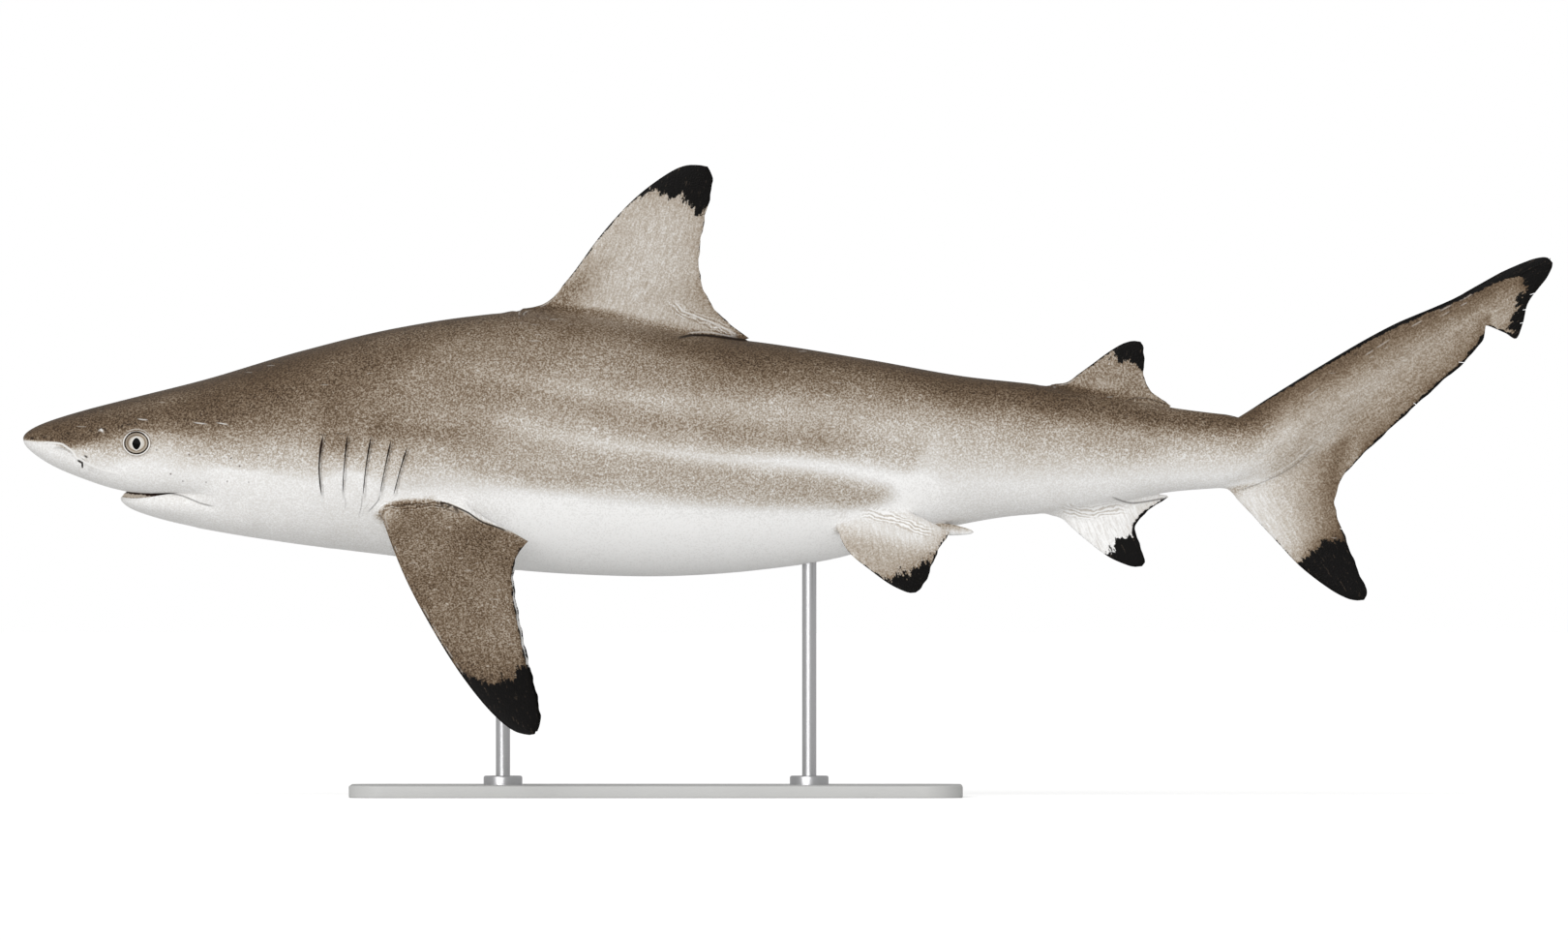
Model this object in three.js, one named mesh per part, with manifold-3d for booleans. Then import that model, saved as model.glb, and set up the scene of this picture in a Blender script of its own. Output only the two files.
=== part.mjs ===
// A blacktip shark, a young male 1.5 m long, as a still life-size display model
// held over a flat base by two short rods. Lengths are in millimetres.
// The snout points to -X, the shark's left side faces -Y, and +Z is up.
// The origin is on the floor, below the middle of the model.
//
// Inside the shark's own group a place is (s, y, h): s runs back from the tip of
// the snout, y to the shark's right, and h up from its long axis.
import * as THREE from 'three';
import { mergeVertices } from 'three/addons/utils/BufferGeometryUtils.js';
import Module from 'manifold-3d';

const wasm = await Module();
wasm.setup();

// ---- Driving dimensions -------------------------------------------------

const LENGTH = 1500;
const AXIS_HEIGHT = 340;
const GAP = 0.3;

// Sections are near-elliptic above their widest level, and their spacing is
// closest at the snout.
const SQUARE_ABOVE = 2.1;
const CROWDING = 0.15;

// Facets round and along the two lofted bodies and over each fin, and round the rest.
const BODY_MESH = [22, 50];
const JAW_MESH = [16, 13];
const FIN_MESH = [7, 8];
const EYE_MESH = [14, 8];
const FACETS = { tooth: 5, clasper: 12, rod: 24, collar: 16 };

const BASE = { length: 600, width: 280, thick: 12, corner: 36, middle: -130 };
const ROD = { radius: 7, spacing: 300 };
const COLLAR = { radius: 19, height: 9, chamfer: 2 };

// Where the body is parted, as distances from the snout.
const CUTS = { jaw: 190, gills: 278, trunk: 386, tail: 902, caudal: 1181 };

const EYE = { s: 112, h: 6, long: 14.6, tall: 13, depth: 9, inset: 6 };
const NOSTRIL = { s: 58.7, h: -15.2, y: 46, radii: [2, 6.5, 4.4] };

// The five gill slits, front to back: s and h of the top end, s and h of the
// bottom end, and how far the middle bows forwards.
const GILLS = [
  [294, 14, 293, -45, 4.2],
  [318, 15, 314, -44, 2.2],
  [341, 13, 333, -45, 1.9],
  [361, 9, 350.5, -43, 1.0],
  [376, 2, 363.5, -44, 1.4],
];
const GILL_SLIT = { width: 1.4, depth: 6 };

const MOUTH = { front: 95.5, corner: 150, opening: 6.3 };
const TEETH = { each_side: 9, pitch: 4, radius: 1.5, share: 0.28 };

// A fin's section: how its facets crowd towards the front edge, how full it is
// just behind that edge, and how soon it thins out towards the tip.
const FIN_SECTION = { crowd: 1.35, full: 2.6, fade: 0.6 };

// ---- Lines of the body ----------------------------------------------------

// A smooth function through [s, value] points. It works in the square root of
// the distance from start, so that the front end comes out round.
function line(points, start = 0) {
  const at = points.map(([s]) => Math.sqrt(s - start));
  const value = points.map((point) => point[1]);
  const rise = value.slice(1).map((v, i) => (v - value[i]) / (at[i + 1] - at[i]));
  const slope = value.map((_, i) => {
    if (i === 0) return rise[0];
    if (i === rise.length) return rise[i - 1];
    const before = at[i] - at[i - 1];
    const after = at[i + 1] - at[i];
    return (rise[i - 1] * after + rise[i] * before) / (before + after);
  });
  return (s) => {
    const x = Math.sqrt(Math.max(s - start, 0));
    let i = 0;
    while (i < rise.length - 1 && x > at[i + 1]) i += 1;
    const span = at[i + 1] - at[i];
    const t = Math.min((x - at[i]) / span, 1);
    const lift = t * t * (3 - 2 * t);
    return value[i] + (value[i + 1] - value[i]) * lift
      + span * slope[i] * t * (1 - t) * (1 - t)
      - span * slope[i + 1] * t * t * (1 - t);
  };
}

// The whole body, whose tail end is the thick upper edge of the tail fin.
const BODY = {
  start: 0,
  end: 1496,
  above: line([
    [0, 11], [11, 22], [57, 38], [111, 52], [182, 70], [273, 97], [364, 119], [440, 131],
    [500, 136], [560, 132], [650, 113], [717, 106], [831, 88], [922, 72], [1000, 63],
    [1058, 53], [1138, 39.5], [1180, 34.5], [1190, 33.5], [1198, 37], [1217, 49],
    [1263, 77.5], [1331, 117], [1411, 154], [1471, 184], [1500, 190],
  ]),
  below: line([
    [0, 11], [11, -4], [34, -18], [57, -27.5], [91, -38.5], [125, -44.5], [157, -47.5],
    [182, -55], [200, -69], [216, -79.5], [234, -86], [250, -89.2], [286, -94.3],
    [310, -97.4], [364, -104], [455, -115], [546, -122], [637, -123.5], [717, -118], [797, -106],
    [876, -83], [967, -65], [1010, -61.5],
    [1058, -55], [1115, -42.5], [1192, -35], [1228, -29], [1269, -4], [1331, 62], [1411, 128],
    [1471, 174], [1496, 187],
  ]),
  middle: line([
    [0, 11], [57, 6], [182, 6], [300, 6], [400, 7.5], [560, 6], [717, -4], [876, -1],
    [1058, -1], [1192, -2], [1228, 14], [1269, 40], [1331, 90], [1411, 143], [1496, 187.5],
  ]),
  half: line([
    [0, 0], [11, 21], [57, 48], [111, 64], [181, 77], [290, 87], [400, 91], [508, 92],
    [600, 90], [717, 79], [812, 66], [920, 54], [1020, 42], [1100, 32], [1165, 24],
    [1240, 17], [1300, 11], [1400, 5], [1496, 1],
  ]),
  square: line([[0, 2.2], [60, 3], [120, 3.8], [180, 3.6], [270, 2.6], [400, 2.3], [1500, 2]]),
};

// The lower jaw, which runs back into the throat.
const JAW = {
  start: MOUTH.front,
  end: 286,
  above: line([[95.5, -48], [100, -42], [116, -33], [182, -28], [286, -28]], 95.5),
  below: line([
    [95.5, -47.5], [98, -52], [103, -56], [115, -61.4], [141, -69.3], [166, -75],
    [194, -80.8], [216, -84.3], [234, -86.2], [250, -87], [286, -86],
  ], 95.5),
  middle: line([[95.5, -48], [116, -49], [148, -50], [182, -51], [286, -50]], 95.5),
  half: line([
    [95.5, 0], [98, 13], [103, 22], [116, 36], [148, 53], [182, 62], [210, 65], [240, 63],
    [286, 50],
  ], 95.5),
  square: () => 2.3,
};

// ---- Lines of the fins, seen from the side --------------------------------

// lead is the front edge from root to tip, trail the back edge, and root the
// line under the fin, which leaves the body towards the free rear tip.
const FINS = {
  first_dorsal: {
    lead: [
      [500, 108], [488, 134], [513, 146], [536, 170], [568, 213], [602, 249], [639, 275],
      [665, 281],
    ],
    trail: [
      [713, 109], [695, 122], [677, 139], [665, 162], [662, 190], [668, 228], [674, 252],
      [676, 274],
    ],
    root: [[500, 108], [560, 98], [628, 98], [652, 114], [713, 108]],
    thick: [8, 1.6],
    spread: () => 0,
  },
  second_dorsal: {
    lead: [[1016, 45], [1009, 63], [1024, 68], [1043, 81], [1062, 95], [1077, 104], [1091, 108]],
    trail: [[1126, 43], [1114, 51], [1102, 61], [1098, 74], [1098, 90], [1098, 104]],
    root: [[1016, 45], [1040, 38], [1072, 36], [1088, 49], [1126, 42]],
    thick: [4.5, 1.2],
    spread: () => 0,
  },
  anal: {
    lead: [
      [1011, -45], [1006, -61], [1020, -70], [1041, -88], [1062, -104], [1079, -112],
      [1092, -116],
    ],
    trail: [[1124, -46], [1106, -57], [1092, -70], [1090, -82], [1096, -98], [1100, -112]],
    root: [[1011, -45], [1036, -36], [1066, -36], [1082, -47], [1124, -45]],
    thick: [4.5, 1.2],
    spread: () => 0,
  },
  pectoral: {
    lead: [
      [362, -40], [353, -62], [358, -82], [375, -124], [396, -164], [424, -210], [452, -247],
      [476, -270], [498, -281],
    ],
    trail: [
      [496, -88.5], [486, -101], [480, -120], [481, -142], [487, -176], [495, -212],
      [503, -245], [507, -273],
    ],
    root: [[362, -40], [395, -36], [422, -50], [445, -67], [467, -77], [496, -88.5]],
    thick: [10, 1.8],
    spread: (h) => 80 + 0.85 * (-60 - h) - 0.001 * (-60 - h) ** 2,
  },
  pelvic: {
    lead: [[806, -58], [799, -78], [808, -99], [829, -117], [850, -132], [870, -141]],
    trail: [[908, -80], [897, -97], [890, -113], [885, -126], [878, -138]],
    root: [[806, -58], [835, -50], [862, -58], [884, -72], [908, -80]],
    thick: [5, 1.3],
    spread: (h) => 44 + 0.6 * (-66 - h),
  },
  caudal_web: {
    lead: [[1205, 14], [1245, 40], [1300, 80], [1360, 118], [1420, 150]],
    trail: [
      [1284, -56], [1285, -44], [1291, -30], [1305, -12], [1345, 26], [1390, 67], [1414, 88],
      [1438, 119],
    ],
    root: [[1205, 14], [1240, -44], [1284, -56]],
    thick: [6, 2],
    spread: () => 0,
  },
  caudal_tip: {
    lead: [[1418, 148], [1450, 172], [1475, 186], [1494, 190]],
    trail: [
      [1430, 123], [1438, 120.5], [1451, 114.5], [1462, 109], [1469, 123], [1474, 142],
      [1484, 158], [1493, 170], [1500, 184],
    ],
    root: [[1418, 148], [1414, 134], [1430, 123]],
    thick: [3, 1.2],
    spread: () => 0,
  },
  caudal_lower: {
    lead: [
      [1184, -18], [1180, -36], [1206, -66], [1230, -92], [1253, -116], [1284, -139],
      [1308, -150],
    ],
    trail: [
      [1292, 8], [1285, -22], [1283, -45], [1287, -64], [1296, -88], [1306, -114],
      [1314, -132], [1319, -144],
    ],
    root: [[1184, -18], [1235, 2], [1292, 8]],
    thick: [7, 1.6],
    spread: () => 0,
  },
};

// A clasper is a tapered rod that lies back under the belly behind each pelvic fin.
const CLASPER = { from: [864, -74], to: [930, -80.5], y: 21, radii: [6.5, 6.5, 5.5, 2.5] };

// ---- Solids ---------------------------------------------------------------

function signedVolume(points, triangles) {
  const [a, b, c] = [new THREE.Vector3(), new THREE.Vector3(), new THREE.Vector3()];
  let sum = 0;
  for (let i = 0; i < triangles.length; i += 3) {
    a.fromArray(points, triangles[i] * 3);
    b.fromArray(points, triangles[i + 1] * 3);
    c.fromArray(points, triangles[i + 2] * 3);
    sum += a.dot(b.cross(c));
  }
  return sum / 6;
}

// A solid with its faces pointing out, whichever way round its shape was made.
function solidOf(geometry) {
  const bare = geometry.clone();
  bare.deleteAttribute('normal');
  bare.deleteAttribute('uv');
  const merged = mergeVertices(bare, 1e-4);
  const vertProperties = new Float32Array(merged.attributes.position.array);
  const triVerts = new Uint32Array(merged.index.array);
  if (signedVolume(vertProperties, triVerts) < 0) triVerts.reverse();
  return new wasm.Manifold(new wasm.Mesh({ numProp: 3, vertProperties, triVerts }));
}

function geometryOf(solid) {
  const mesh = solid.getMesh();
  const geometry = new THREE.BufferGeometry();
  geometry.setAttribute('position', new THREE.BufferAttribute(mesh.vertProperties, 3));
  geometry.setIndex(new THREE.BufferAttribute(mesh.triVerts, 1));
  return geometry;
}

// Moves every point of a geometry to where place puts it.
function reshape(geometry, place) {
  const { position } = geometry.attributes;
  const point = new THREE.Vector3();
  for (let i = 0; i < position.count; i += 1) {
    place(point.fromBufferAttribute(position, i));
    position.setXYZ(i, point.x, point.y, point.z);
  }
  return geometry;
}

function joined(solids) {
  return solids.reduce((sum, solid) => sum.add(solid));
}

// The part of a solid between two distances from the snout.
function between(solid, from, to) {
  const slab = new THREE.BoxGeometry(to - from, LENGTH, LENGTH);
  return solid.intersect(solidOf(slab.translate((from + to) / 2, 0, 0)));
}

// A body of smooth sections, made from a sphere whose poles become its two ends.
// wide makes every section larger, and lower moves only its underside down.
function loft(form, around, rings, { wide = 0, lower = () => 0 } = {}) {
  return solidOf(reshape(new THREE.SphereGeometry(1, around, rings), (point) => {
    const t = Math.acos(THREE.MathUtils.clamp(-point.y, -1, 1)) / Math.PI;
    const share = (Math.hypot(t, CROWDING) - CROWDING) / (Math.hypot(1, CROWDING) - CROWDING);
    const s = form.start + (form.end - form.start) * share;
    const middle = form.middle(s);
    if (Math.abs(point.y) > 1 - 1e-9) {
      point.set(s + wide * Math.sign(t - 0.5), 0, middle);
      return;
    }
    const turn = Math.atan2(point.z, -point.x);
    const up = turn >= 0;
    const power = 2 / (up ? SQUARE_ABOVE : form.square(s));
    const reach = up ? form.above(s) - middle : middle - form.below(s) + lower(s);
    const sideways = Math.sign(Math.cos(turn)) * Math.abs(Math.cos(turn)) ** power;
    const upwards = Math.sign(turn) * Math.abs(Math.sin(turn)) ** power;
    point.set(s, (form.half(s) + wide) * sideways, middle + (reach + wide) * upwards);
  }));
}

// How far the body's flank stands from the midline at s and h.
function flank(s, h) {
  const up = h >= BODY.middle(s);
  const power = up ? SQUARE_ABOVE : BODY.square(s);
  const reach = up ? BODY.above(s) - BODY.middle(s) : BODY.middle(s) - BODY.below(s);
  const share = Math.min(Math.abs(h - BODY.middle(s)) / reach, 1);
  return BODY.half(s) * (1 - share ** power) ** (1 / power);
}

// The height of the body's underside at s and y.
function underside(s, y) {
  const power = BODY.square(s);
  const share = Math.min(Math.abs(y) / BODY.half(s), 1);
  return BODY.middle(s) - (BODY.middle(s) - BODY.below(s)) * (1 - share ** power) ** (1 / power);
}

// How wide the mouth stands open, from its front back to its corners.
function mouthGap(s) {
  const closed = THREE.MathUtils.smoothstep(s, MOUTH.front + 8, MOUTH.corner);
  return THREE.MathUtils.lerp(MOUTH.opening, GAP, closed);
}

// A fin between its lead and trail lines, rounded in front, thin behind, and
// thickest near the root. side is -1 for a left fin and 1 for a right one.
function blade(fin, side = 1) {
  const [columns, rows] = FIN_MESH;
  const curve = (points) => new THREE.SplineCurve(points.map((p) => new THREE.Vector2(...p)));
  const [lead, trail, root] = [fin.lead, fin.trail, fin.root].map(curve);
  const chord = new THREE.Vector2();
  return solidOf(reshape(new THREE.BoxGeometry(1, 1, 1, columns, 1, rows), (point) => {
    const across = (point.x + 0.5) ** FIN_SECTION.crowd;
    const along = point.z + 0.5;
    const place = lead.getPointAt(along).lerp(trail.getPointAt(along), across);
    chord.lerpVectors(lead.getPointAt(0), trail.getPointAt(0), across);
    place.addScaledVector(root.getPointAt(across).sub(chord), (1 - along) ** 3);
    const edge = THREE.MathUtils.lerp(1, 0.5, across);
    const thick = THREE.MathUtils.lerp(...fin.thick, along ** FIN_SECTION.fade);
    const bulge = FIN_SECTION.full * Math.sqrt(across) * (1 - across);
    const half = edge + (thick - edge) * bulge;
    const spread = fin.spread(place.y);
    const lean = Math.atan(spread - fin.spread(place.y + 1));
    const out = half * Math.sign(point.y);
    point.set(place.x, side * (spread + out * Math.cos(lean)), place.y + out * Math.sin(lean));
  }));
}

function ellipsoid(radii, [s, y, h], grow = 0) {
  const ball = new THREE.SphereGeometry(1, ...EYE_MESH);
  ball.scale(radii[0] + grow, radii[1] + grow, radii[2] + grow);
  return solidOf(ball.translate(s, y, h));
}

// A slab that cuts one gill slit into the flank.
function gillCut([topS, topH, endS, endH, bow], side) {
  const slab = new THREE.BoxGeometry(GILL_SLIT.width, 1, 1, 1, 1, 4);
  return solidOf(reshape(slab, (point) => {
    const down = 0.5 - point.z;
    const s = THREE.MathUtils.lerp(topS, endS, down) - bow * Math.sin(Math.PI * down);
    const h = THREE.MathUtils.lerp(topH, endH, down);
    const depth = point.y > 0 ? GILL_SLIT.depth : -GILL_SLIT.depth;
    point.set(s + point.x, side * (flank(s, h) + depth), h);
  }));
}

// Small lower teeth along the rim of the jaw, as high as the open mouth lets them.
function teeth() {
  const cones = [];
  for (let i = -TEETH.each_side; i <= TEETH.each_side; i += 1) {
    const y = i * TEETH.pitch;
    let s = MOUTH.front;
    while (JAW.half(s) < Math.abs(y) + TEETH.radius) s += 0.25;
    s += TEETH.radius;
    const rim = underside(s, y) - mouthGap(s);
    const height = TEETH.share * mouthGap(s) + TEETH.radius;
    const cone = new THREE.ConeGeometry(TEETH.radius, height, FACETS.tooth).rotateX(Math.PI / 2);
    cones.push(solidOf(cone.translate(s, y, rim - TEETH.radius + height / 2)));
  }
  return cones;
}

function clasper(side) {
  const length = Math.hypot(CLASPER.to[0] - CLASPER.from[0], CLASPER.to[1] - CLASPER.from[1]);
  const { radii } = CLASPER;
  const profile = radii.map((r, i) => new THREE.Vector2(r, (i / (radii.length - 1)) * length));
  profile.unshift(new THREE.Vector2(0, 0));
  profile.push(new THREE.Vector2(0, length + 1));
  const rod = new THREE.LatheGeometry(profile, FACETS.clasper);
  const rise = Math.atan2(CLASPER.to[1] - CLASPER.from[1], CLASPER.to[0] - CLASPER.from[0]);
  rod.rotateZ(-Math.PI / 2).rotateY(-rise);
  return solidOf(rod.translate(CLASPER.from[0], side * CLASPER.y, CLASPER.from[1]));
}

// ---- The shark ------------------------------------------------------------

const shark = new THREE.Group();
shark.position.set(-LENGTH / 2, 0, AXIS_HEIGHT);

const hide = {
  back: new THREE.MeshStandardMaterial({ color: 0x75695b, roughness: 0.55 }),
  fin: new THREE.MeshStandardMaterial({ color: 0x857a6c, roughness: 0.6 }),
  pale: new THREE.MeshStandardMaterial({ color: 0xc9c3b6, roughness: 0.55 }),
};
const eyeGloss = new THREE.MeshStandardMaterial({ color: 0x8c7a5c, roughness: 0.08 });
const paint = new THREE.MeshStandardMaterial({ color: 0xd8d8d4, roughness: 0.6, metalness: 0.1 });
const steel = new THREE.MeshStandardMaterial({ color: 0xb9bbbd, roughness: 0.3, metalness: 1 });

function show(name, solid, material) {
  const mesh = new THREE.Mesh(geometryOf(solid), material);
  mesh.name = name;
  shark.add(mesh);
}

const trunkShape = loft(BODY, ...BODY_MESH);
const jawShape = loft(JAW, ...JAW_MESH);
const clearance = joined([
  loft(BODY, ...BODY_MESH, { wide: GAP }),
  loft(JAW, ...JAW_MESH, { wide: GAP }),
]);
const finSolids = Object.fromEntries(Object.entries(FINS).map(([name, fin]) => [
  name,
  (side) => blade(fin, side),
]));
const SIDES = { left: -1, right: 1 };

// Head, jaw and gills.
const flesh = joined([trunkShape, between(jawShape, CUTS.jaw + GAP / 2, JAW.end)]);
let head = between(flesh, -GAP, CUTS.gills - GAP / 2);
let gills = between(flesh, CUTS.gills + GAP / 2, CUTS.trunk - GAP / 2);
for (const [name, side] of Object.entries(SIDES)) {
  const eyePlace = [EYE.s, side * (flank(EYE.s, EYE.h) - EYE.inset), EYE.h];
  const eyeRadii = [EYE.long, EYE.depth, EYE.tall];
  head = head.subtract(ellipsoid(eyeRadii, eyePlace, GAP));
  head = head.subtract(ellipsoid(NOSTRIL.radii, [NOSTRIL.s, side * NOSTRIL.y, NOSTRIL.h]));
  show(`eye_${name}`, ellipsoid(eyeRadii, eyePlace), eyeGloss);
  for (const slit of GILLS) gills = gills.subtract(gillCut(slit, side));
}
show('head', head, hide.back);
show('gill_region', gills, hide.back);
const roof = loft(BODY, ...BODY_MESH, { lower: mouthGap });
const jaw = between(jawShape, MOUTH.front - 1, CUTS.jaw - GAP / 2).subtract(roof);
show('lower_jaw', joined([jaw, ...teeth()]), hide.pale);

// Trunk and tail.
show('trunk', between(trunkShape, CUTS.trunk + GAP / 2, CUTS.tail - GAP / 2), hide.back);
show('tail_stalk', between(trunkShape, CUTS.tail + GAP / 2, CUTS.caudal - GAP / 2), hide.back);

// Single fins on the midline.
show('first_dorsal_fin', finSolids.first_dorsal(1).subtract(clearance), hide.fin);
show('second_dorsal_fin', finSolids.second_dorsal(1).subtract(clearance), hide.fin);
show('anal_fin', finSolids.anal(1).subtract(clearance), hide.pale);

// Paired fins, and the claspers between the pelvic fins.
for (const [name, side] of Object.entries(SIDES)) {
  show(`pectoral_fin_${name}`, finSolids.pectoral(side).subtract(clearance), hide.fin);
  show(`pelvic_fin_${name}`, finSolids.pelvic(side).subtract(clearance), hide.pale);
  show(`clasper_${name}`, clasper(side).subtract(clearance), hide.fin);
}

// The tail fin, parted along a line from the root of its lower lobe to the fork
// by a block that starts a little ahead of the fin and takes in all below the line.
const tailEnd = between(trunkShape, CUTS.caudal + GAP / 2, LENGTH);
const caudal = joined([
  tailEnd,
  finSolids.caudal_web(1),
  finSolids.caudal_tip(1),
  between(finSolids.caudal_lower(1), CUTS.caudal + GAP / 2, LENGTH),
]);
const [forkS, forkH] = FINS.caudal_web.trail[1];
const [, lobeH] = FINS.caudal_lower.lead[1];
const tilt = Math.atan2(forkH - lobeH, forkS - CUTS.caudal);
const TAIL_BLOCK = 400;
const FRONT_MARGIN = 20;
function underPartingLine(drop) {
  const block = new THREE.BoxGeometry(TAIL_BLOCK, TAIL_BLOCK, TAIL_BLOCK);
  block.translate(TAIL_BLOCK / 2, 0, -TAIL_BLOCK / 2 - drop).rotateY(-tilt);
  return solidOf(block.translate(CUTS.caudal - FRONT_MARGIN, 0, lobeH));
}
show('caudal_upper_lobe', caudal.subtract(underPartingLine(0)), hide.fin);
show('caudal_lower_lobe', caudal.intersect(underPartingLine(GAP)), hide.pale);

// ---- The stand ------------------------------------------------------------

const stand = new THREE.Group();
stand.position.set(BASE.middle, 0, 0);

function showStand(name, geometry, material) {
  const mesh = new THREE.Mesh(geometry, material);
  mesh.name = name;
  stand.add(mesh);
}

function baseOutline(inset) {
  const [x, y, r] = [BASE.length / 2 - inset, BASE.width / 2 - inset, BASE.corner - inset];
  const shape = new THREE.Shape();
  shape.absarc(x - r, y - r, r, 0, Math.PI / 2);
  shape.absarc(r - x, y - r, r, Math.PI / 2, Math.PI);
  shape.absarc(r - x, r - y, r, Math.PI, 1.5 * Math.PI);
  shape.absarc(x - r, r - y, r, 1.5 * Math.PI, 2 * Math.PI);
  return shape;
}

const BEVEL = 1.5;
const plate = new THREE.ExtrudeGeometry(baseOutline(BEVEL), {
  depth: BASE.thick - 2 * BEVEL,
  bevelThickness: BEVEL,
  bevelSize: BEVEL,
  bevelSegments: 1,
  curveSegments: 6,
});
showStand('stand_base', plate.translate(0, 0, BEVEL), paint);

for (const [name, way] of Object.entries({ front: -1, rear: 1 })) {
  const x = (way * ROD.spacing) / 2;
  const rise = AXIS_HEIGHT - BASE.thick;
  const bar = new THREE.CylinderGeometry(ROD.radius, ROD.radius, rise, FACETS.rod);
  bar.rotateX(Math.PI / 2).translate(x + BASE.middle + LENGTH / 2, 0, -rise / 2);
  show(`stand_rod_${name}`, solidOf(bar).subtract(clearance), steel);
  const inner = ROD.radius + GAP;
  const ring = new THREE.LatheGeometry([
    new THREE.Vector2(inner, 0),
    new THREE.Vector2(COLLAR.radius, 0),
    new THREE.Vector2(COLLAR.radius, COLLAR.height - COLLAR.chamfer),
    new THREE.Vector2(COLLAR.radius - COLLAR.chamfer, COLLAR.height),
    new THREE.Vector2(inner, COLLAR.height),
    new THREE.Vector2(inner, 0),
  ], FACETS.collar).rotateX(Math.PI / 2);
  showStand(`stand_collar_${name}`, ring.translate(x, 0, BASE.thick), steel);
}

const group = new THREE.Group();
group.add(shark, stand);
export default group;
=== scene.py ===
import math
from contextlib import contextmanager

import bmesh
import bpy
import numpy as np
from mathutils import Matrix, Vector
from mathutils.bvhtree import BVHTree


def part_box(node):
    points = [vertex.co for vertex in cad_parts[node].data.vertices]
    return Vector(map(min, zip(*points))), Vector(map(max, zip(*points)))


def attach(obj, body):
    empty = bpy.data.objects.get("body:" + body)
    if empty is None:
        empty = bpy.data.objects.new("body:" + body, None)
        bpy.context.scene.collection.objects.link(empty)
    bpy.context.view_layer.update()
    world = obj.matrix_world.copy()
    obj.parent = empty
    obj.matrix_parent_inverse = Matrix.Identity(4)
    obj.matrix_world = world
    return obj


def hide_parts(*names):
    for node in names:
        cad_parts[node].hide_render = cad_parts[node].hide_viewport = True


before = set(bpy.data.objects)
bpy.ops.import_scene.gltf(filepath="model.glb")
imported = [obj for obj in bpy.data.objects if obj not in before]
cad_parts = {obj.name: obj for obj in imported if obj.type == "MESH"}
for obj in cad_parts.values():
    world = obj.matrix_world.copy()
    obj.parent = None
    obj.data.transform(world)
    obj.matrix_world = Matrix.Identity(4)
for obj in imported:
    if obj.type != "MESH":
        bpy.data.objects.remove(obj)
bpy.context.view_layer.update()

# A blacktip shark on a display stand. The shark is drawn in its own places
# (s, y, h) in millimetres: s runs back from the snout, y to the shark's right,
# and h up from its long axis. The solids give where the snout and the axis are.
LENGTH = 1500.0
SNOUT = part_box("head")[0].x
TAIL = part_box("caudal_upper_lobe")[1].x
MM = (TAIL - SNOUT) / LENGTH
EYE = {"s": 112.0, "h": 6.0, "long": 14.6, "tall": 13.0, "depth": 9.0, "inset": 6.0}
AXIS = sum(corner.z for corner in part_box("eye_left")) / 2 - EYE["h"] * MM
SIDES = {"left": -1.0, "right": 1.0}


# ---- Small tools ------------------------------------------------------------


def smooth(x, low, high):
    """0 at low, 1 at high, and a soft step between."""
    t = np.clip((np.asarray(x, float) - low) / (high - low), 0.0, 1.0)
    return t * t * (3.0 - 2.0 * t)


def mix(a, b, share):
    return a + (b - a) * share


def bump(x, width):
    return np.exp(-((x / width) ** 2))


def span(x, start, full, fade, end):
    """0 before start, 1 from full to fade, and 0 again after end."""
    return smooth(x, start, full) * (1.0 - smooth(x, fade, end))


def bent(points, s):
    """The value at s of a line that bends at [s, value] points."""
    return np.interp(s, *np.array(points, float).T)


def arc(share, power):
    """How much of its full height a rounded shape has at a share of its half width."""
    return (1.0 - share**power) ** (1.0 / power)


def in_box(s, h, low, high):
    """Which of the points lie between two corners of a box in the side view."""
    return (s > low[0]) & (s < high[0]) & (h > low[1]) & (h < high[1])


def line(points, start=0.0):
    """A smooth function through [s, value] points, in the root of the distance from start."""
    at, value = np.array(points, float).T
    at = np.sqrt(at - start)
    step = np.diff(at)
    rise = np.diff(value) / step
    inner = (rise[:-1] * step[1:] + rise[1:] * step[:-1]) / (step[:-1] + step[1:])
    slope = np.concatenate([rise[:1], inner, rise[-1:]])

    def value_at(s):
        x = np.sqrt(np.maximum(np.asarray(s, float) - start, 0.0))
        i = np.clip(np.searchsorted(at, x) - 1, 0, len(step) - 1)
        t = np.clip((x - at[i]) / step[i], 0.0, 1.0)
        lift = t * t * (3.0 - 2.0 * t)
        ease_in = slope[i] * t * (1.0 - t) ** 2
        ease_out = slope[i + 1] * t * t * (1.0 - t)
        return mix(value[i], value[i + 1], lift) + step[i] * (ease_in - ease_out)

    return value_at


def sweep(points):
    """A smooth curve through points, as a function of the share of its length."""
    p = np.array(points, float)
    t = np.linspace(0.0, len(p) - 1.0, 60 * len(p))
    i = np.minimum(t.astype(int), len(p) - 2)
    w = (t - i)[:, None]
    a, b, c, d = p[np.maximum(i - 1, 0)], p[i], p[i + 1], p[np.minimum(i + 2, len(p) - 1)]
    curve = b + 0.5 * w * (c - a + w * (2 * a - 5 * b + 4 * c - d + w * (3 * (b - c) + d - a)))
    far = np.concatenate([[0.0], np.cumsum(np.linalg.norm(np.diff(curve, axis=0), axis=1))])
    far /= far[-1]

    def place_at(share):
        share = np.clip(share, 0.0, 1.0)
        return np.stack([np.interp(share, far, curve[:, k]) for k in (0, 1)], axis=-1)

    return place_at


# ---- The lines of the body --------------------------------------------------

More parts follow.
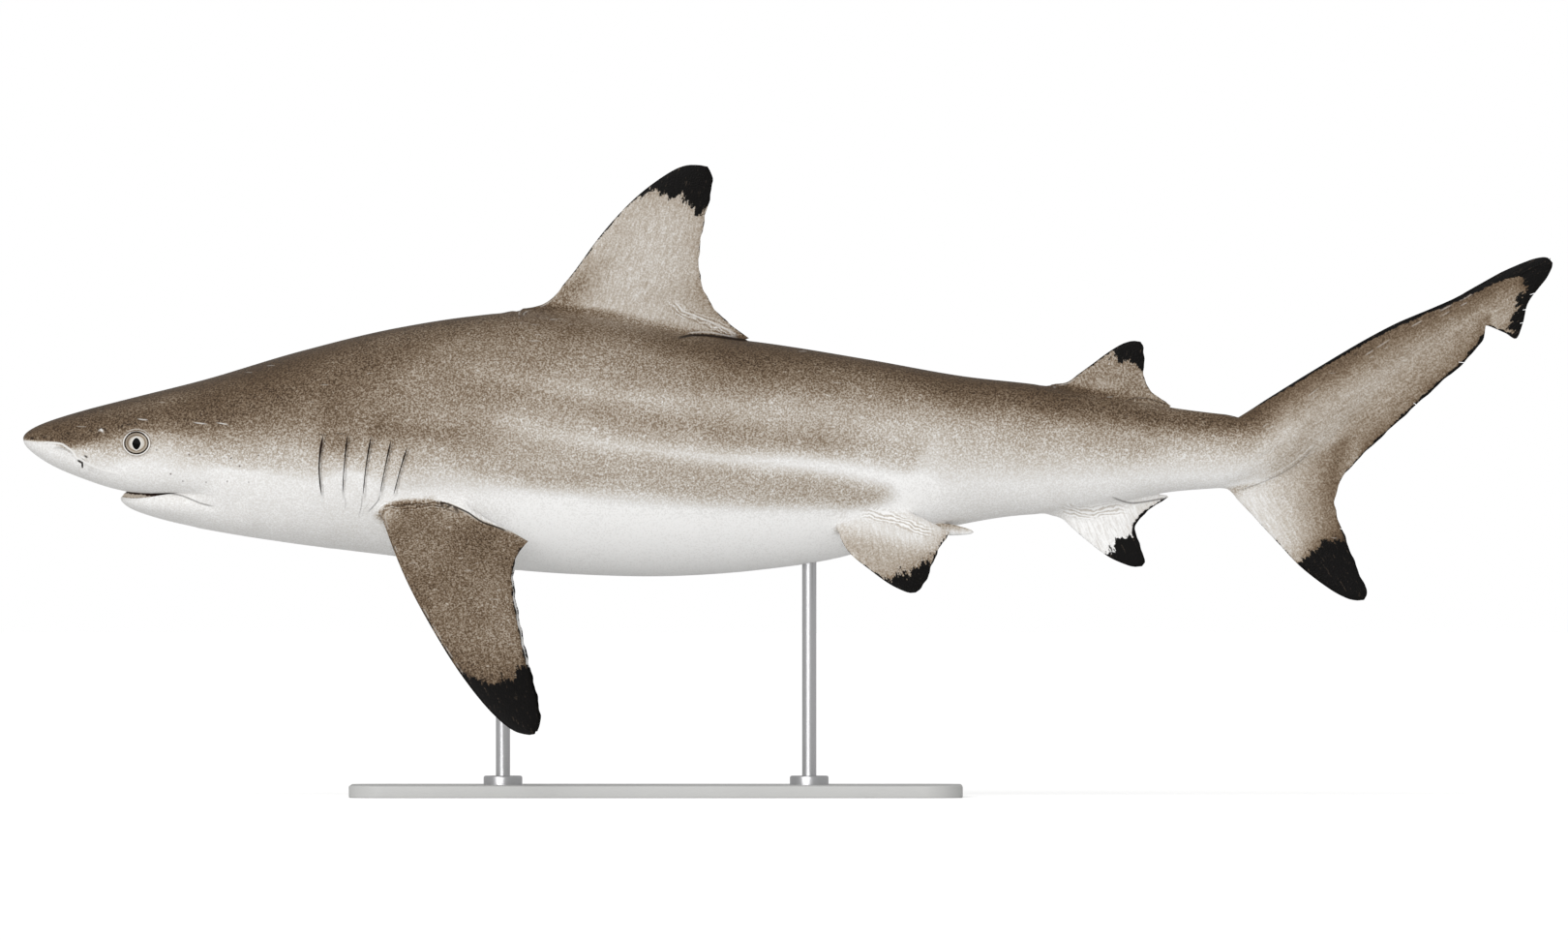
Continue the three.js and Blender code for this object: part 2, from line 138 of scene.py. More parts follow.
BODY = {
    "start": 0.0,
    "end": 1496.0,
    "above": line([
        [0, 11], [11, 22], [57, 38], [111, 52], [182, 70], [273, 97], [364, 119], [440, 131],
        [500, 136], [560, 132], [650, 113], [717, 106], [831, 88], [922, 72], [1000, 63],
        [1058, 53], [1138, 39.5], [1180, 34.5], [1190, 33.5], [1198, 37], [1217, 49], [1263, 77.5],
        [1331, 117], [1411, 154], [1471, 184], [1500, 190],
    ]),
    "below": line([
        [0, 11], [11, -4], [34, -18], [57, -27.5], [91, -38.5], [125, -44.5], [157, -47.5],
        [182, -55], [200, -69], [216, -79.5], [234, -86], [250, -89.2], [286, -94.3],
        [310, -97.4], [364, -104], [455, -115], [546, -122], [637, -123.5], [717, -118],
        [797, -106], [876, -83], [967, -65], [1010, -61.5], [1058, -55], [1115, -42.5],
        [1192, -35], [1228, -29], [1269, -4], [1331, 62], [1411, 128], [1471, 174], [1496, 187],
    ]),
    "middle": line([
        [0, 11], [57, 6], [182, 6], [300, 6], [400, 7.5], [560, 6], [717, -4], [876, -1],
        [1058, -1], [1192, -2], [1228, 14], [1269, 40], [1331, 90], [1411, 143], [1496, 187.5],
    ]),
    "half": line([
        [0, 0], [11, 21], [57, 48], [111, 64], [181, 77], [290, 87], [400, 91], [508, 92],
        [600, 90], [717, 79], [812, 66], [920, 54], [1020, 42], [1100, 32], [1165, 24],
        [1240, 17], [1300, 11], [1400, 5], [1496, 1],
    ]),
    "square": line([[0, 2.2], [60, 3], [120, 3.8], [180, 3.6], [270, 2.6], [400, 2.3], [1500, 2]]),
}

MOUTH = {"front": 95.5, "corner": 150.0, "opening": 6.3, "groove": 6.5}

JAW = {
    "start": MOUTH["front"],
    "end": 286.0,
    "above": line([[95.5, -48], [100, -42], [116, -33], [182, -28], [286, -28]], 95.5),
    "below": line([
        [95.5, -47.5], [98, -52], [103, -56], [115, -61.4], [141, -69.3], [166, -75], [194, -80.8],
        [216, -84.3], [234, -86.2], [250, -87], [286, -86],
    ], 95.5),
    "middle": line([[95.5, -48], [116, -49], [148, -50], [182, -51], [286, -50]], 95.5),
    "half": line([
        [95.5, 0], [98, 13], [103, 22], [116, 36], [148, 53], [182, 62], [210, 65], [240, 63],
        [286, 50],
    ], 95.5),
    "square": lambda s: np.full_like(s, 2.3),
}

# The floor and roof of the mouth meet in this core, which leaves a groove round the jaw.
MOUTH_CORE = {
    **JAW,
    "start": MOUTH["front"] + 2.5,
    "end": 240.0,
    "below": lambda s: JAW["below"](s) * 0.5 + JAW["middle"](s) * 0.5,
    "half": lambda s: np.maximum(
        JAW["half"](s) - MOUTH["groove"] * smooth(s, 90, 112), 0.0
    ) * smooth(s, 97.5, 104) ** 0.5,
}

# The underside from the jaw into the belly.
THROAT = line([
    [160, -73.8], [180, -78], [198, -81.3], [222, -85.3], [250, -89.5], [276, -93.2],
    [294, -95.5], [310, -97.4],
])

SQUARE_ABOVE = 2.1

NOSTRIL = {"s": 58.7, "h": -15.2, "y": 46.0}

# The five gill slits: s and h of the top, of the bottom, how wide each opens, and how
# far its middle bows forwards.
GILLS = [
    [296.8, 14, 295.5, -45, 2.3, 3.8],
    [320.8, 15, 315.8, -44, 1.5, 1.4],
    [343.8, 13, 335.8, -45, 1.6, 1.6],
    [363.2, 9, 352.5, -43, 1.5, 1.0],
    [379, 2, 366, -44, 1.5, 1.4],
]
GILL_DEPTH = 6.0


def flank(s, h):
    """How far the body's side stands from the midline."""
    middle = BODY["middle"](s)
    up = h >= middle
    power = np.where(up, SQUARE_ABOVE, BODY["square"](s))
    reach = np.where(up, BODY["above"](s) - middle, middle - BODY["below"](s))
    share = np.minimum(np.abs(h - middle) / np.maximum(reach, 1e-6), 1.0)
    return BODY["half"](s) * arc(share, power)


def underside(s, y):
    power = BODY["square"](s)
    middle = BODY["middle"](s)
    share = np.minimum(np.abs(y) / np.maximum(BODY["half"](s), 1e-6), 1.0)
    return middle - (middle - BODY["below"](s)) * arc(share, power)


def mouth_gap(s):
    """How wide the mouth stands open. Behind its corners the jaw runs into the head."""
    closing = mix(MOUTH["opening"], 0.7, smooth(s, MOUTH["front"] + 8, MOUTH["corner"] + 4))
    return mix(closing, -1.2, smooth(s, MOUTH["corner"] - 3, MOUTH["corner"] + 6))


# ---- The lines of the fins --------------------------------------------------

# lead and trail are the front and back edges from root to tip, and root is the
# line under the fin. thick is half the thickness at the root and the tip.
# fillet is how softly the root joins the body, up to the s of free, where the
# free rear tip leaves it. tip is the edge of the black tip, from front to back.
# lead_black and trail_black are how wide the black rims are, against s. tone gives the
# brown from 0, white, to 1, the darkest, out of the distances to the fin's own lines.
# mesh is how many points go round the fin and along it. spread, on the paired fins, is how
# far out the fin stands at a height, top is the line it shows below, and rays gives two
# points of the line that its streaks follow.
FINS = {
    "first_dorsal": {
        "lead": [[500, 108], [488, 134], [513, 146], [536, 170], [568, 213], [602, 249],
                 [639, 275], [665, 281]],
        "trail": [[713, 109], [695, 122], [677, 139], [665, 162], [662, 190], [668, 228],
                  [674, 252], [676, 274]],
        "root": [[500, 108], [560, 98], [628, 98], [652, 114], [713, 108]],
        "thick": [8, 1.6],
        "mesh": [88, 72],
        "fillet": 26, "free": [600, 655],
        "tip": [[596, 251], [622, 252], [648, 243], [664, 232], [684, 226]],
        "lead_black": [[480, 0.2], [560, 0.9], [700, 1.2]],
        "trail_black": [[640, 0.2], [685, 0.4], [698, 1.5], [715, 1.8]],
        "tone": lambda at: (
            0.27 + 0.14 * np.exp(-at["trail"] / 12.0) + 0.26 * (1.0 - smooth(at["off"], 0, 9))
            + 0.14 * np.exp(-at["trail"] / 22.0) * (1.0 - smooth(at["h"], 150, 182))
            + 0.35 * bump(at["lead"] - 9.0, 16.0) * (1.0 - 0.9 * smooth(at["h"], 145, 205))
            + 0.12 * np.exp(np.minimum(at["tip"], 0.0) / 10.0)
        ),
    },
    "second_dorsal": {
        "lead": [[1016, 45], [1009, 63], [1024, 68], [1043, 81], [1062, 95], [1077, 104],
                 [1091, 108]],
        "trail": [[1126, 43], [1114, 51], [1102, 61], [1098, 74], [1098, 90], [1098, 104]],
        "root": [[1016, 45], [1040, 38], [1072, 36], [1088, 49], [1126, 42]],
        "thick": [4.5, 1.2],
        "mesh": [60, 36],
        "fillet": 14, "free": [1066, 1088],
        "tip": [[1050, 93], [1066, 92], [1080, 86], [1102, 76]],
        "lead_black": [[1000, 0.3], [1040, 0.9], [1100, 1.0]],
        "trail_black": [[1090, 0.4], [1130, 0.5]],
        "tone": lambda at: (
            0.57 + 0.10 * (1.0 - smooth(at["off"], 0, 6))
            - 0.10 * bump(np.hypot(at["s"] - 1058.0, at["h"] - 62.0), 14.0)
        ),
    },
    "anal": {
        "lead": [[1011, -45], [1006, -61], [1020, -70], [1041, -88], [1062, -104],
                 [1079, -112], [1092, -116]],
        "trail": [[1124, -46], [1106, -57], [1092, -70], [1090, -82], [1096, -98], [1100, -112]],
        "root": [[1011, -45], [1036, -36], [1066, -36], [1082, -47], [1124, -45]],
        "thick": [4.5, 1.2],
        "mesh": [60, 36],
        "fillet": 14, "free": [1064, 1084],
        "tip": [[1056, -104], [1065, -99], [1071, -88], [1084, -82], [1100, -80]],
        "lead_black": [[1000, -1], [1060, 0.2], [1100, 0.8]],
        "trail_black": [[1085, 3.4], [1100, 2.6], [1130, 1.6]],
        "tone": lambda at: (
            0.04 + 0.08 * (1.0 - smooth(at["off"], 0, 11)) + 0.15 * np.exp(-at["trail"] / 5.0)
        ),
    },
    "pectoral": {
        "lead": [[362, -40], [353, -62], [358, -82], [375, -124], [396, -164], [424, -210],
                 [452, -247], [476, -270], [498, -281]],
        "trail": [[496, -88.5], [486, -101], [480, -120], [481, -142], [487, -176], [495, -212],
                  [503, -245], [507, -273]],
        "root": [[362, -40], [395, -36], [422, -50], [445, -67], [467, -77], [496, -88.5]],
        "top": [[340, -70], [346, -63], [357, -53], [371, -48.5], [400, -47.5], [418, -52],
                [433, -60], [444, -67.5], [466, -76], [500, -88]],
        "thick": [10, 1.8],
        "mesh": [80, 84],
        "fillet": 16, "free": [430, 462],
        "tip": [[427, -213], [440, -222], [458, -228], [474, -225], [484, -216], [500, -207]],
        "lead_black": [[350, -0.6], [390, 0.6], [460, 1.6]],
        "trail_black": [[470, 0.8], [510, 1.0]],
        "tone": lambda at: (
            0.69 + 0.08 * np.exp(-at["lead"] / 15.0) + 0.14 * np.exp(-at["trail"] / 4.0)
            - 0.34 * bump(np.hypot(at["s"] - 358.0, at["h"] + 62.0), 10.0)
            - 0.20 * bump(np.hypot(at["s"] - 425.0, 1.6 * (at["h"] + 58.0)), 16.0)
            + 0.10 * bump(np.hypot(at["s"] - 452.0, at["h"] + 92.0), 24.0)
            - 0.07 * bump(np.hypot(at["s"] - 468.0, at["h"] + 168.0), 26.0)
            + 0.16 * np.exp(np.minimum(at["tip"], 0.0) / 8.0)
        ),
        "spread": lambda h: 80 + 0.85 * (-60 - h) - 0.001 * (-60 - h) ** 2,
    },
    "pelvic": {
        "lead": [[806, -58], [799, -78], [808, -99], [829, -117], [850, -132], [870, -141]],
        "trail": [[908, -80], [897, -97], [890, -113], [885, -126], [878, -138]],
        "root": [[806, -58], [835, -50], [862, -58], [884, -72], [908, -80]],
        "thick": [5, 1.3],
        "mesh": [60, 44],
        "fillet": 12, "free": [850, 876],
        "tip": [[836, -128], [852, -125], [868, -119], [886, -108], [896, -98]],
        "lead_black": [[800, -0.5], [830, 0.9], [870, 1.4]],
        "trail_black": [[870, 3.0], [905, 0.2]],
        "tone": lambda at: (
            np.interp(at["h"] + 0.25 * (at["s"] - 850.0), [-104, -98, -92, -82], [0.35, 0.31, 0.24, 0.11])
            + 0.22 * np.exp(np.minimum(at["tip"], 0.0) / 9.0) + 0.12 * np.exp(-at["trail"] / 6.0)
        ),
        "spread": lambda h: 44 + 0.6 * (-66 - h),
    },
    "caudal_web": {
        "lead": [[1205, 14], [1245, 40], [1300, 80], [1360, 118], [1420, 150]],
        "trail": [[1284, -56], [1285, -44], [1291, -30], [1305, -12], [1345, 26], [1390, 67],
                  [1414, 88], [1438, 119]],
        "root": [[1205, 14], [1240, -44], [1284, -56]],
        "thick": [6, 2],
        "mesh": [64, 84],
        "fillet": 12, "free": [1500, 1600],
        "tip": None,
        "lead_black": None,
        "trail_black": [[1284, -3], [1289, 0.6], [1340, 2.2], [1440, 3.2]],
        "tone": lambda at: tail_tone(at["s"], at["h"]),
    },
    "caudal_tip": {
        "lead": [[1418, 148], [1450, 172], [1475, 186], [1494, 190]],
        "trail": [[1430, 123], [1438, 120.5], [1451, 114.5], [1462, 109], [1469, 123],
                  [1474, 142], [1484, 158], [1493, 170], [1500, 184]],
        "root": [[1418, 148], [1414, 134], [1430, 123]],
        "thick": [3, 1.2],
        "mesh": [56, 60],
        "fillet": 2.5, "free": [1500, 1600],
        "tip": [[1463, 188], [1471, 172], [1471, 158], [1464, 140], [1456, 124], [1449, 112]],
        "lead_black": None,
        "trail_black": [[1440, 1], [1460, 3], [1500, 8]],
        "tone": lambda at: (
            tail_tone(at["s"], at["h"]) + 0.25 * np.exp(np.minimum(at["tip"], 0.0) / 8.0)
        ),
    },
    "caudal_lower": {
        "lead": [[1184, -18], [1180, -36], [1206, -66], [1230, -92], [1253, -116],
                 [1284, -139], [1308, -150]],
        "trail": [[1292, 8], [1285, -22], [1283, -45], [1287, -64], [1296, -88], [1306, -114], [1314, -132],
                  [1319, -144]],
        "root": [[1184, -18], [1235, 2], [1292, 8]],
        "thick": [7, 1.6],
        "mesh": [64, 60],
        "fillet": 12, "free": [1500, 1600],
        "tip": [[1236, -112], [1250, -110], [1262, -98], [1275, -89], [1300, -87]],
        "lead_black": [[1180, -1], [1225, 0.2], [1300, 1.4]],
        "trail_black": [[1282, -4], [1287, 0.8], [1320, 1.2]],
        "tone": lambda at: (
            tail_tone(at["s"], at["h"]) + 0.36 * np.exp(np.minimum(at["tip"], 0.0) / 8.0)
        ),
        "rays": [[1225, -10], [1313, -147]],
    },
}

CLASPER = {"from": [864.0, -74.0], "to": [930.0, -80.5], "y": 21.0, "radii": [6.5, 6.5, 5.5, 2.5]}

# Narrow slots in the rear edges of the fins: the mouth and the end of each, and its width.
SLOTS = [
    [[1494, 157], [1476, 152], 2.6],
    [[1484, 139], [1469, 137], 2.2],
    [[1480, 126], [1466, 124], 2.0],
    [[678, 222], [671, 219], 2.4],
    [[671, 198], [665, 196], 2.0],
    [[1424, 84], [1406, 86], 1.6],
    [[1371, 40], [1362, 46], 1.6],
    [[1306, -82], [1290, -77], 1.8],
    [[496, -128], [478, -124], 1.8],
]


# ---- Making and joining meshes ----------------------------------------------


def mesh_points(mesh):
    points = np.empty(len(mesh.vertices) * 3)
    mesh.vertices.foreach_get("co", points)
    return points.reshape(-1, 3)


def move_mesh(mesh, points):
    mesh.vertices.foreach_set("co", points.ravel())
    mesh.update()


def store(mesh, name, value):
    """Keeps a number or a vector on each point of the mesh."""
    kind, field = ("FLOAT_VECTOR", "vector") if value.ndim == 2 else ("FLOAT", "value")
    layer = mesh.attributes.new(name, kind, "POINT")
    layer.data.foreach_set(field, value.astype(np.float32).ravel())


@contextmanager
def opened(piece):
    """The piece's mesh, open to be changed."""
    bm = bmesh.new()
    bm.from_mesh(piece.data)
    bm.verts.ensure_lookup_table()
    yield bm
    bm.to_mesh(piece.data)
    bm.free()


def dress(piece, material, sharp=None):
    """Shades the piece smoothly, but for edges over so many degrees, in one material."""
    piece.data.shade_smooth()
    if sharp:
        piece.data.set_sharp_from_angle(angle=math.radians(sharp))
    piece.data.materials.append(material)


def object_of(bm, name):
    mesh = bpy.data.meshes.new(name)
    bm.to_mesh(mesh)
    bm.free()
    piece = bpy.data.objects.new(name, mesh)
    bpy.context.scene.collection.objects.link(piece)
    return piece


def turned_out(bm, name):
    """The finished mesh, with all its faces pointing out."""
    bm.normal_update()
    bmesh.ops.recalc_face_normals(bm, faces=bm.faces)
    if bm.calc_volume(signed=True) < 0.0:
        bmesh.ops.reverse_faces(bm, faces=bm.faces)
    return object_of(bm, name)


def ball(name, around, rings, place):
    """A closed piece made from a sphere: place maps its unit points."""
    bm = bmesh.new()
    bmesh.ops.create_uvsphere(bm, u_segments=around, v_segments=rings, radius=1.0)
    unit = np.array([v.co for v in bm.verts])
    for vert, co in zip(bm.verts, place(unit)):
        vert.co = co
    return turned_out(bm, name)


def ring_share(unit):
    """0 at the bottom pole of the unit sphere, 1 at its top pole."""
    return np.arccos(np.clip(-unit[:, 2], -1.0, 1.0)) / math.pi


def close_at_start(t, reach):
    """0 to 1 as t is, with small steps at the start."""
    return (np.hypot(t, reach) - reach) / (math.hypot(1.0, reach) - reach)


def body_spacing(t):
    return 0.5 * close_at_start(t, 0.02) + 0.5 * t**2.2


def jaw_spacing(t):
    return close_at_start(t, 0.3)


def section(form, s, lower, count=400):
    """One side of the section at s, from the bottom to the top: points by equal steps round it."""
    angle = np.linspace(-math.pi / 2, math.pi / 2, count)
    up = angle >= 0.0
    power = np.where(up, 2.0 / SQUARE_ABOVE, 2.0 / form["square"](np.array([s]))[0])
    middle = form["middle"](s)
    reach = np.where(up, form["above"](s) - middle, middle - form["below"](s) + lower)
    y = form["half"](s) * np.abs(np.cos(angle)) ** power
    h = middle + reach * np.sign(angle) * np.abs(np.sin(angle)) ** power
    far = np.concatenate([[0.0], np.cumsum(np.hypot(np.diff(y), np.diff(h)))])
    return far / max(far[-1], 1e-9), y, h


def loft(name, form, around, rings, spacing, lower=None):
    """A body of smooth sections. lower moves only its underside down."""

    def place(unit):
        ring = np.rint(ring_share(unit) * rings).astype(int)
        side = np.sign(np.round(unit[:, 0], 9))
        turn = np.arctan2(unit[:, 1], np.abs(unit[:, 0]))
        share = turn / math.pi + 0.5
        out = np.empty_like(unit)
        for r in range(rings + 1):
            here = ring == r
            s = mix(form["start"], form["end"], spacing(r / rings))
            out[here, 0] = s
            if r in (0, rings):
                out[here, 1:] = 0.0, form["middle"](s)
                continue
            far, y, h = section(form, s, lower(s) if lower else 0.0)
            out[here, 1] = side[here] * np.interp(share[here], far, y)
            out[here, 2] = np.interp(share[here], far, h)
        return out

    return ball(name, around, rings, place)


def fray(along, length):
    """How far the worn rear edge of a fin draws in, in millimetres."""
    x = along * length
    return 0.45 * np.sin(x / 2.9 + 1.0) * np.sin(x / 7.3) + 0.35 * np.sin(x / 4.7 + 2.0)


def fin_shape(name, side=1.0):
    """A fin between its lines: round in front, thin behind and thickest near the root."""
    fin = FINS[name]
    lead, trail, root = (sweep(fin[key]) for key in ("lead", "trail", "root"))
    spread = fin.get("spread", lambda h: np.zeros_like(h))
    cap, tip = 0.03, 0.94
    length = float(np.linalg.norm(np.subtract(fin["lead"][-1], fin["lead"][1])))

    def place(unit):
        t = ring_share(unit)
        flat = np.maximum(np.hypot(unit[:, 0], unit[:, 1]), 1e-9)
        round_in = unit[:, 1] / flat
        across = (1.0 - unit[:, 0] / flat) / 2.0
        along = np.clip((t - cap) / (1.0 - cap), 0.0, 1.0)
        ends = np.sqrt(np.clip(1.0 - (np.maximum(t - tip, 0.0) / (1.0 - tip)) ** 2, 0.0, 1.0))
        ends *= np.clip(t / cap, 0.0, 1.0)
        front, back = lead(along), trail(along)
        chord = mix(lead(0.0)[None], trail(0.0)[None], across[:, None])
        spot = mix(front, back, across[:, None])
        near_root = ((1.0 - along) ** 3)[:, None]
        spot += (root(across) - chord) * near_root
        wear = fray(along, length) * across**8 * smooth(along, 0.0, 0.15)
        spot[:, 0] -= wear
        dip = root(0.5)[None] - mix(lead(0.0), trail(0.0), 0.5)
        centre = mix(front, back, 0.5) + dip * near_root
        spot = mix(centre, spot, ends[:, None])
        rounding = mix(1.0, 0.5, across)
        edge = rounding * np.minimum(np.abs(round_in) * 2.5, 1.0)
        full = mix(fin["thick"][0], fin["thick"][1], along**0.6)
        foil = (full - rounding) * 2.6 * np.sqrt(across) * (1.0 - across)
        half = (edge + foil) * ends * np.sign(np.round(round_in, 9))
        level = spread(spot[:, 1])
        lean = np.arctan(level - spread(spot[:, 1] + 1.0))
        y = side * (level + half * np.cos(lean))
        return np.stack([spot[:, 0], y, spot[:, 1] + half * np.sin(lean)], axis=1)

    return ball(name, *fin["mesh"], place)


def clasper_shape(side):
    (s0, h0), (s1, h1) = CLASPER["from"], CLASPER["to"]
    radius = line([[i, r] for i, r in enumerate(CLASPER["radii"])])
    groove = 0.22

    def place(unit):
        t = ring_share(unit)
        turn = np.arctan2(unit[:, 1], unit[:, 0])
        swell = radius(t * 3.0) * np.sqrt(np.clip(1.0 - (2.0 * t - 1.0) ** 8, 0.0, 1.0))
        swell *= 1.0 - groove * bump(np.abs(turn) - math.pi / 2, 0.35) * smooth(t, 0.3, 0.6)
        return np.stack([
            mix(s0, s1 + 1.0, t),
            side * (CLASPER["y"] + swell * np.sin(turn) * 0.85),
            mix(h0, h1, t) + swell * np.cos(turn),
        ], axis=1)

    return ball("clasper", 28, 36, place)


def remove(piece):
    mesh = piece.data
    bpy.data.objects.remove(piece)
    bpy.data.meshes.remove(mesh)


def combine(piece, tool, how):
    """Joins the tool to the piece, or cuts it out, and clears the tool away."""
    change = piece.modifiers.new("combine", "BOOLEAN")
    change.solver = "MANIFOLD"
    change.operation = how
    change.object = tool
    seen = piece.evaluated_get(bpy.context.evaluated_depsgraph_get())
    before = piece.data
    piece.data = bpy.data.meshes.new_from_object(seen)
    piece.modifiers.clear()
    bpy.data.meshes.remove(before)
    remove(tool)


def gathered(pieces):
    """Pieces that don't touch, in one object."""
    bm = bmesh.new()
    for piece in pieces:
        bm.from_mesh(piece.data)
        remove(piece)
    return object_of(bm, "gathered")


def tree_of(piece):
    mesh = piece.data
    return BVHTree.FromPolygons(
        [v.co for v in mesh.vertices], [tuple(p.vertices) for p in mesh.polygons]
    )


# ---- The skin's shape --------------------------------------------------------


def split_where(piece, wanted):
    """Halves the edges whose ends are both wanted, and sets them on the flank's true curve."""
    points = mesh_points(piece.data)
    chosen = wanted(points)
    with opened(piece) as bm:
        count = len(bm.verts)
        edges = [e for e in bm.edges if chosen[e.verts[0].index] and chosen[e.verts[1].index]]
        bmesh.ops.subdivide_edges(bm, edges=edges, cuts=1, use_grid_fill=True)
        bm.verts.ensure_lookup_table()
        for vert in bm.verts[count:]:
            s, y, h = vert.co
            vert.co.y = math.copysign(float(flank(np.array(s), np.array(h))), y)


def near_eye(radius):
    def wanted(points):
        return np.hypot(points[:, 0] - EYE["s"], points[:, 2] - EYE["h"]) < radius

    return wanted


def near_nostril(points):
    return np.hypot(points[:, 0] - NOSTRIL["s"], points[:, 2] - NOSTRIL["h"]) < 13


def near_gills(points):
    return in_box(points[:, 0], points[:, 2], (276, -60), (392, 26))


def gill_line(gill, down):
    top_s, top_h, end_s, end_h, _, bow = gill
    s = mix(top_s, end_s, down) - bow * np.sin(math.pi * np.clip(down, 0.0, 1.0))
    return s, mix(top_h, end_h, down)


def gill_cutter(gill, side):
    """A blade, widest a third of the way down, that cuts one slit into the flank."""
    bm = bmesh.new()
    bmesh.ops.create_grid(bm, x_segments=2, y_segments=20, size=1.0)
    faces = bmesh.ops.extrude_face_region(bm, geom=bm.faces)["geom"]
    for item in faces:
        if isinstance(item, bmesh.types.BMVert):
            item.co.z = 1.0
    for vert in bm.verts:
        down = (1.0 - vert.co.y) / 2.0
        s, h = gill_line(gill, down)
        widest = 0.55 + 0.9 * float(bump(down - 0.14, 0.16)) + 0.35 * float(bump(down - 0.86, 0.1))
        open_half = 0.12 + gill[4] / 2.0 * widest * math.sin(math.pi * down) ** 0.5
        depth = 7.0 if vert.co.z > 0.5 else -GILL_DEPTH * (0.25 + 0.75 * math.sin(math.pi * down))
        out = float(flank(np.array(s), np.array(h))) + depth
        lean = 2.5 if vert.co.z < 0.5 else 0.0
        vert.co = (s + vert.co.x * open_half - lean, side * out, h)
    return turned_out(bm, "gill_cutter")


def ellipsoid(name, radii, middle, around, rings, lean=0.0):
    """An ellipsoid whose poles lie on the shark's cross axis. lean slants it along the body."""

    def place(unit):
        spot = unit[:, [0, 2, 1]] * radii
        spot[:, 1] += spot[:, 0] * lean
        return spot + middle

    return ball(name, around, rings, place)


def eye_shape(name, side, around, rings, grow=0.0):
    """An eyeball, or a socket a little larger, slanted as the flank is there."""
    before, here, behind = (float(flank(EYE["s"] + ds, EYE["h"])) for ds in (-8.0, 0.0, 8.0))
    radii = [EYE["long"] + grow, EYE["depth"] + grow, EYE["tall"] + grow]
    middle = np.array([EYE["s"], side * (here - EYE["inset"]), EYE["h"]])
    return ellipsoid(name, radii, middle, around, rings, side * (behind - before) / 16.0)


def slot_cutter(mouth, end, width):
    """A thin wedge, wide at the rear edge of a fin and narrow at its end."""
    bm = bmesh.new()
    bmesh.ops.create_cube(bm, size=2.0)
    way = Vector((end[0] - mouth[0], end[1] - mouth[1])).normalized()
    across = Vector((-way.y, way.x))
    for vert in bm.verts:
        inner = vert.co.x > 0
        at = Vector(end) if inner else Vector(mouth) - way * 6.0
        half = 0.25 if inner else width / 2.0
        spot = at + across * half * vert.co.z
        vert.co = (spot.x, 130.0 * vert.co.y, spot.y)
    return turned_out(bm, "slot_cutter")


def soften(points, first, second, reach, chosen, steps=3):
    """Moves the points of two shapes onto a fillet between them. reach is its size at each."""
    moved = np.zeros(len(points), bool)
    on_shapes = [
        i for i in chosen
        if min(tree.find_nearest(Vector(points[i]))[3] for tree in (first, second)) < 0.4
    ]
    for _ in range(steps):
        for i in on_shapes:
            k = reach[i]
            p = Vector(points[i])
            near = []
            for tree in (first, second):
                spot, normal, _, far = tree.find_nearest(p)
                away = p - spot
                inside = away.dot(normal) < 0.0
                near.append((-far if inside else far, normal, away, far))
            (d1, n1, away1, far1), (d2, n2, away2, far2) = near
            share = 0.5 + 0.5 * (d2 - d1) / k
            if not 0.0 < share < 1.0:
                continue
            turn = min(max(1.0 - n1.dot(n2), 0.0), 1.0)
            value = d2 + (d1 - d2) * share - turn * k * share * (1.0 - share)
            g1 = away1 / d1 if far1 > 0.3 else n1
            g2 = away2 / d2 if far2 > 0.3 else n2
            slope = g1 * share + g2 * (1.0 - share)
            step = -value / max(slope.length_squared, 0.4)
            points[i] += np.array(slope * max(min(step, 4.0), -4.0))
            moved[i] = True
    return moved


def fillet_fin(points, body_tree, fin_tree, fin):
    """Joins a fin's root softly to the body, all but its free rear tip."""
    s, h = points[:, 0], points[:, 2]
    near = np.array(fin["lead"][:3] + fin["root"] + fin["trail"][:3], float)
    low, high = near.min(axis=0) - 30.0, near.max(axis=0) + 30.0
    if fin["free"][0] >= LENGTH:
        low = np.array(fin["lead"] + fin["trail"], float).min(axis=0) - 15.0
        high = (np.inf, np.inf)
    reach = fin["fillet"] * (1.0 - 0.9 * smooth(s, *fin["free"]))
    return soften(points, body_tree, fin_tree, reach, np.nonzero(in_box(s, h, low, high))[0])


def fillet_jaw(points, body_tree, jaw_tree):
    """Runs the jaw into the head behind the corners of the mouth."""
    s, h = points[:, 0], points[:, 2]
    reach = 0.3 + 22.0 * smooth(s, MOUTH["corner"] + 8, MOUTH["corner"] + 60)
    inside = (s > MOUTH["corner"] + 5) & (s < JAW["end"]) & (h < -20)
    return soften(points, body_tree, jaw_tree, reach, np.nonzero(inside)[0])


def near_throat(points):
    s, h = points[:, 0], points[:, 2]
    return (s > MOUTH["corner"] + 22) & (s < JAW["end"] + 4) & (h < -26)


def even_out(piece, chosen, rounds):
    with opened(piece) as bm:
        verts = [bm.verts[i] for i in np.nonzero(chosen)[0]]
        for _ in range(rounds):
            bmesh.ops.smooth_vert(
                bm, verts=verts, factor=0.4, use_axis_x=True, use_axis_y=True, use_axis_z=True
            )


def level_throat(points):
    """Sets the underside of the throat on its drawn line again, once it has been smoothed."""
    s, h = points[:, 0], points[:, 2]
    stations, near = np.arange(170.0, 296.0, 4.0), 3.0
    lowest = np.array([h[np.abs(s - at) < near].min() for at in stations])
    gap = np.interp(s, stations, THROAT(stations + near) - lowest)
    gap *= span(s, 168, 182, 278, 296)
    points[:, 2] += gap * smooth(h, -45, -75)
    # What still hangs lower than the line is pushed up to it.
    low = span(s, 166, 176, 296, 308)
    points[:, 2] -= 0.5 * low * smooth(h, -60, -75)
    under = (s > 160) & (s < 312) & (h < -60)
    points[under, 2] = np.maximum(h[under], (THROAT(s) - 4.0 * (1.0 - low))[under])


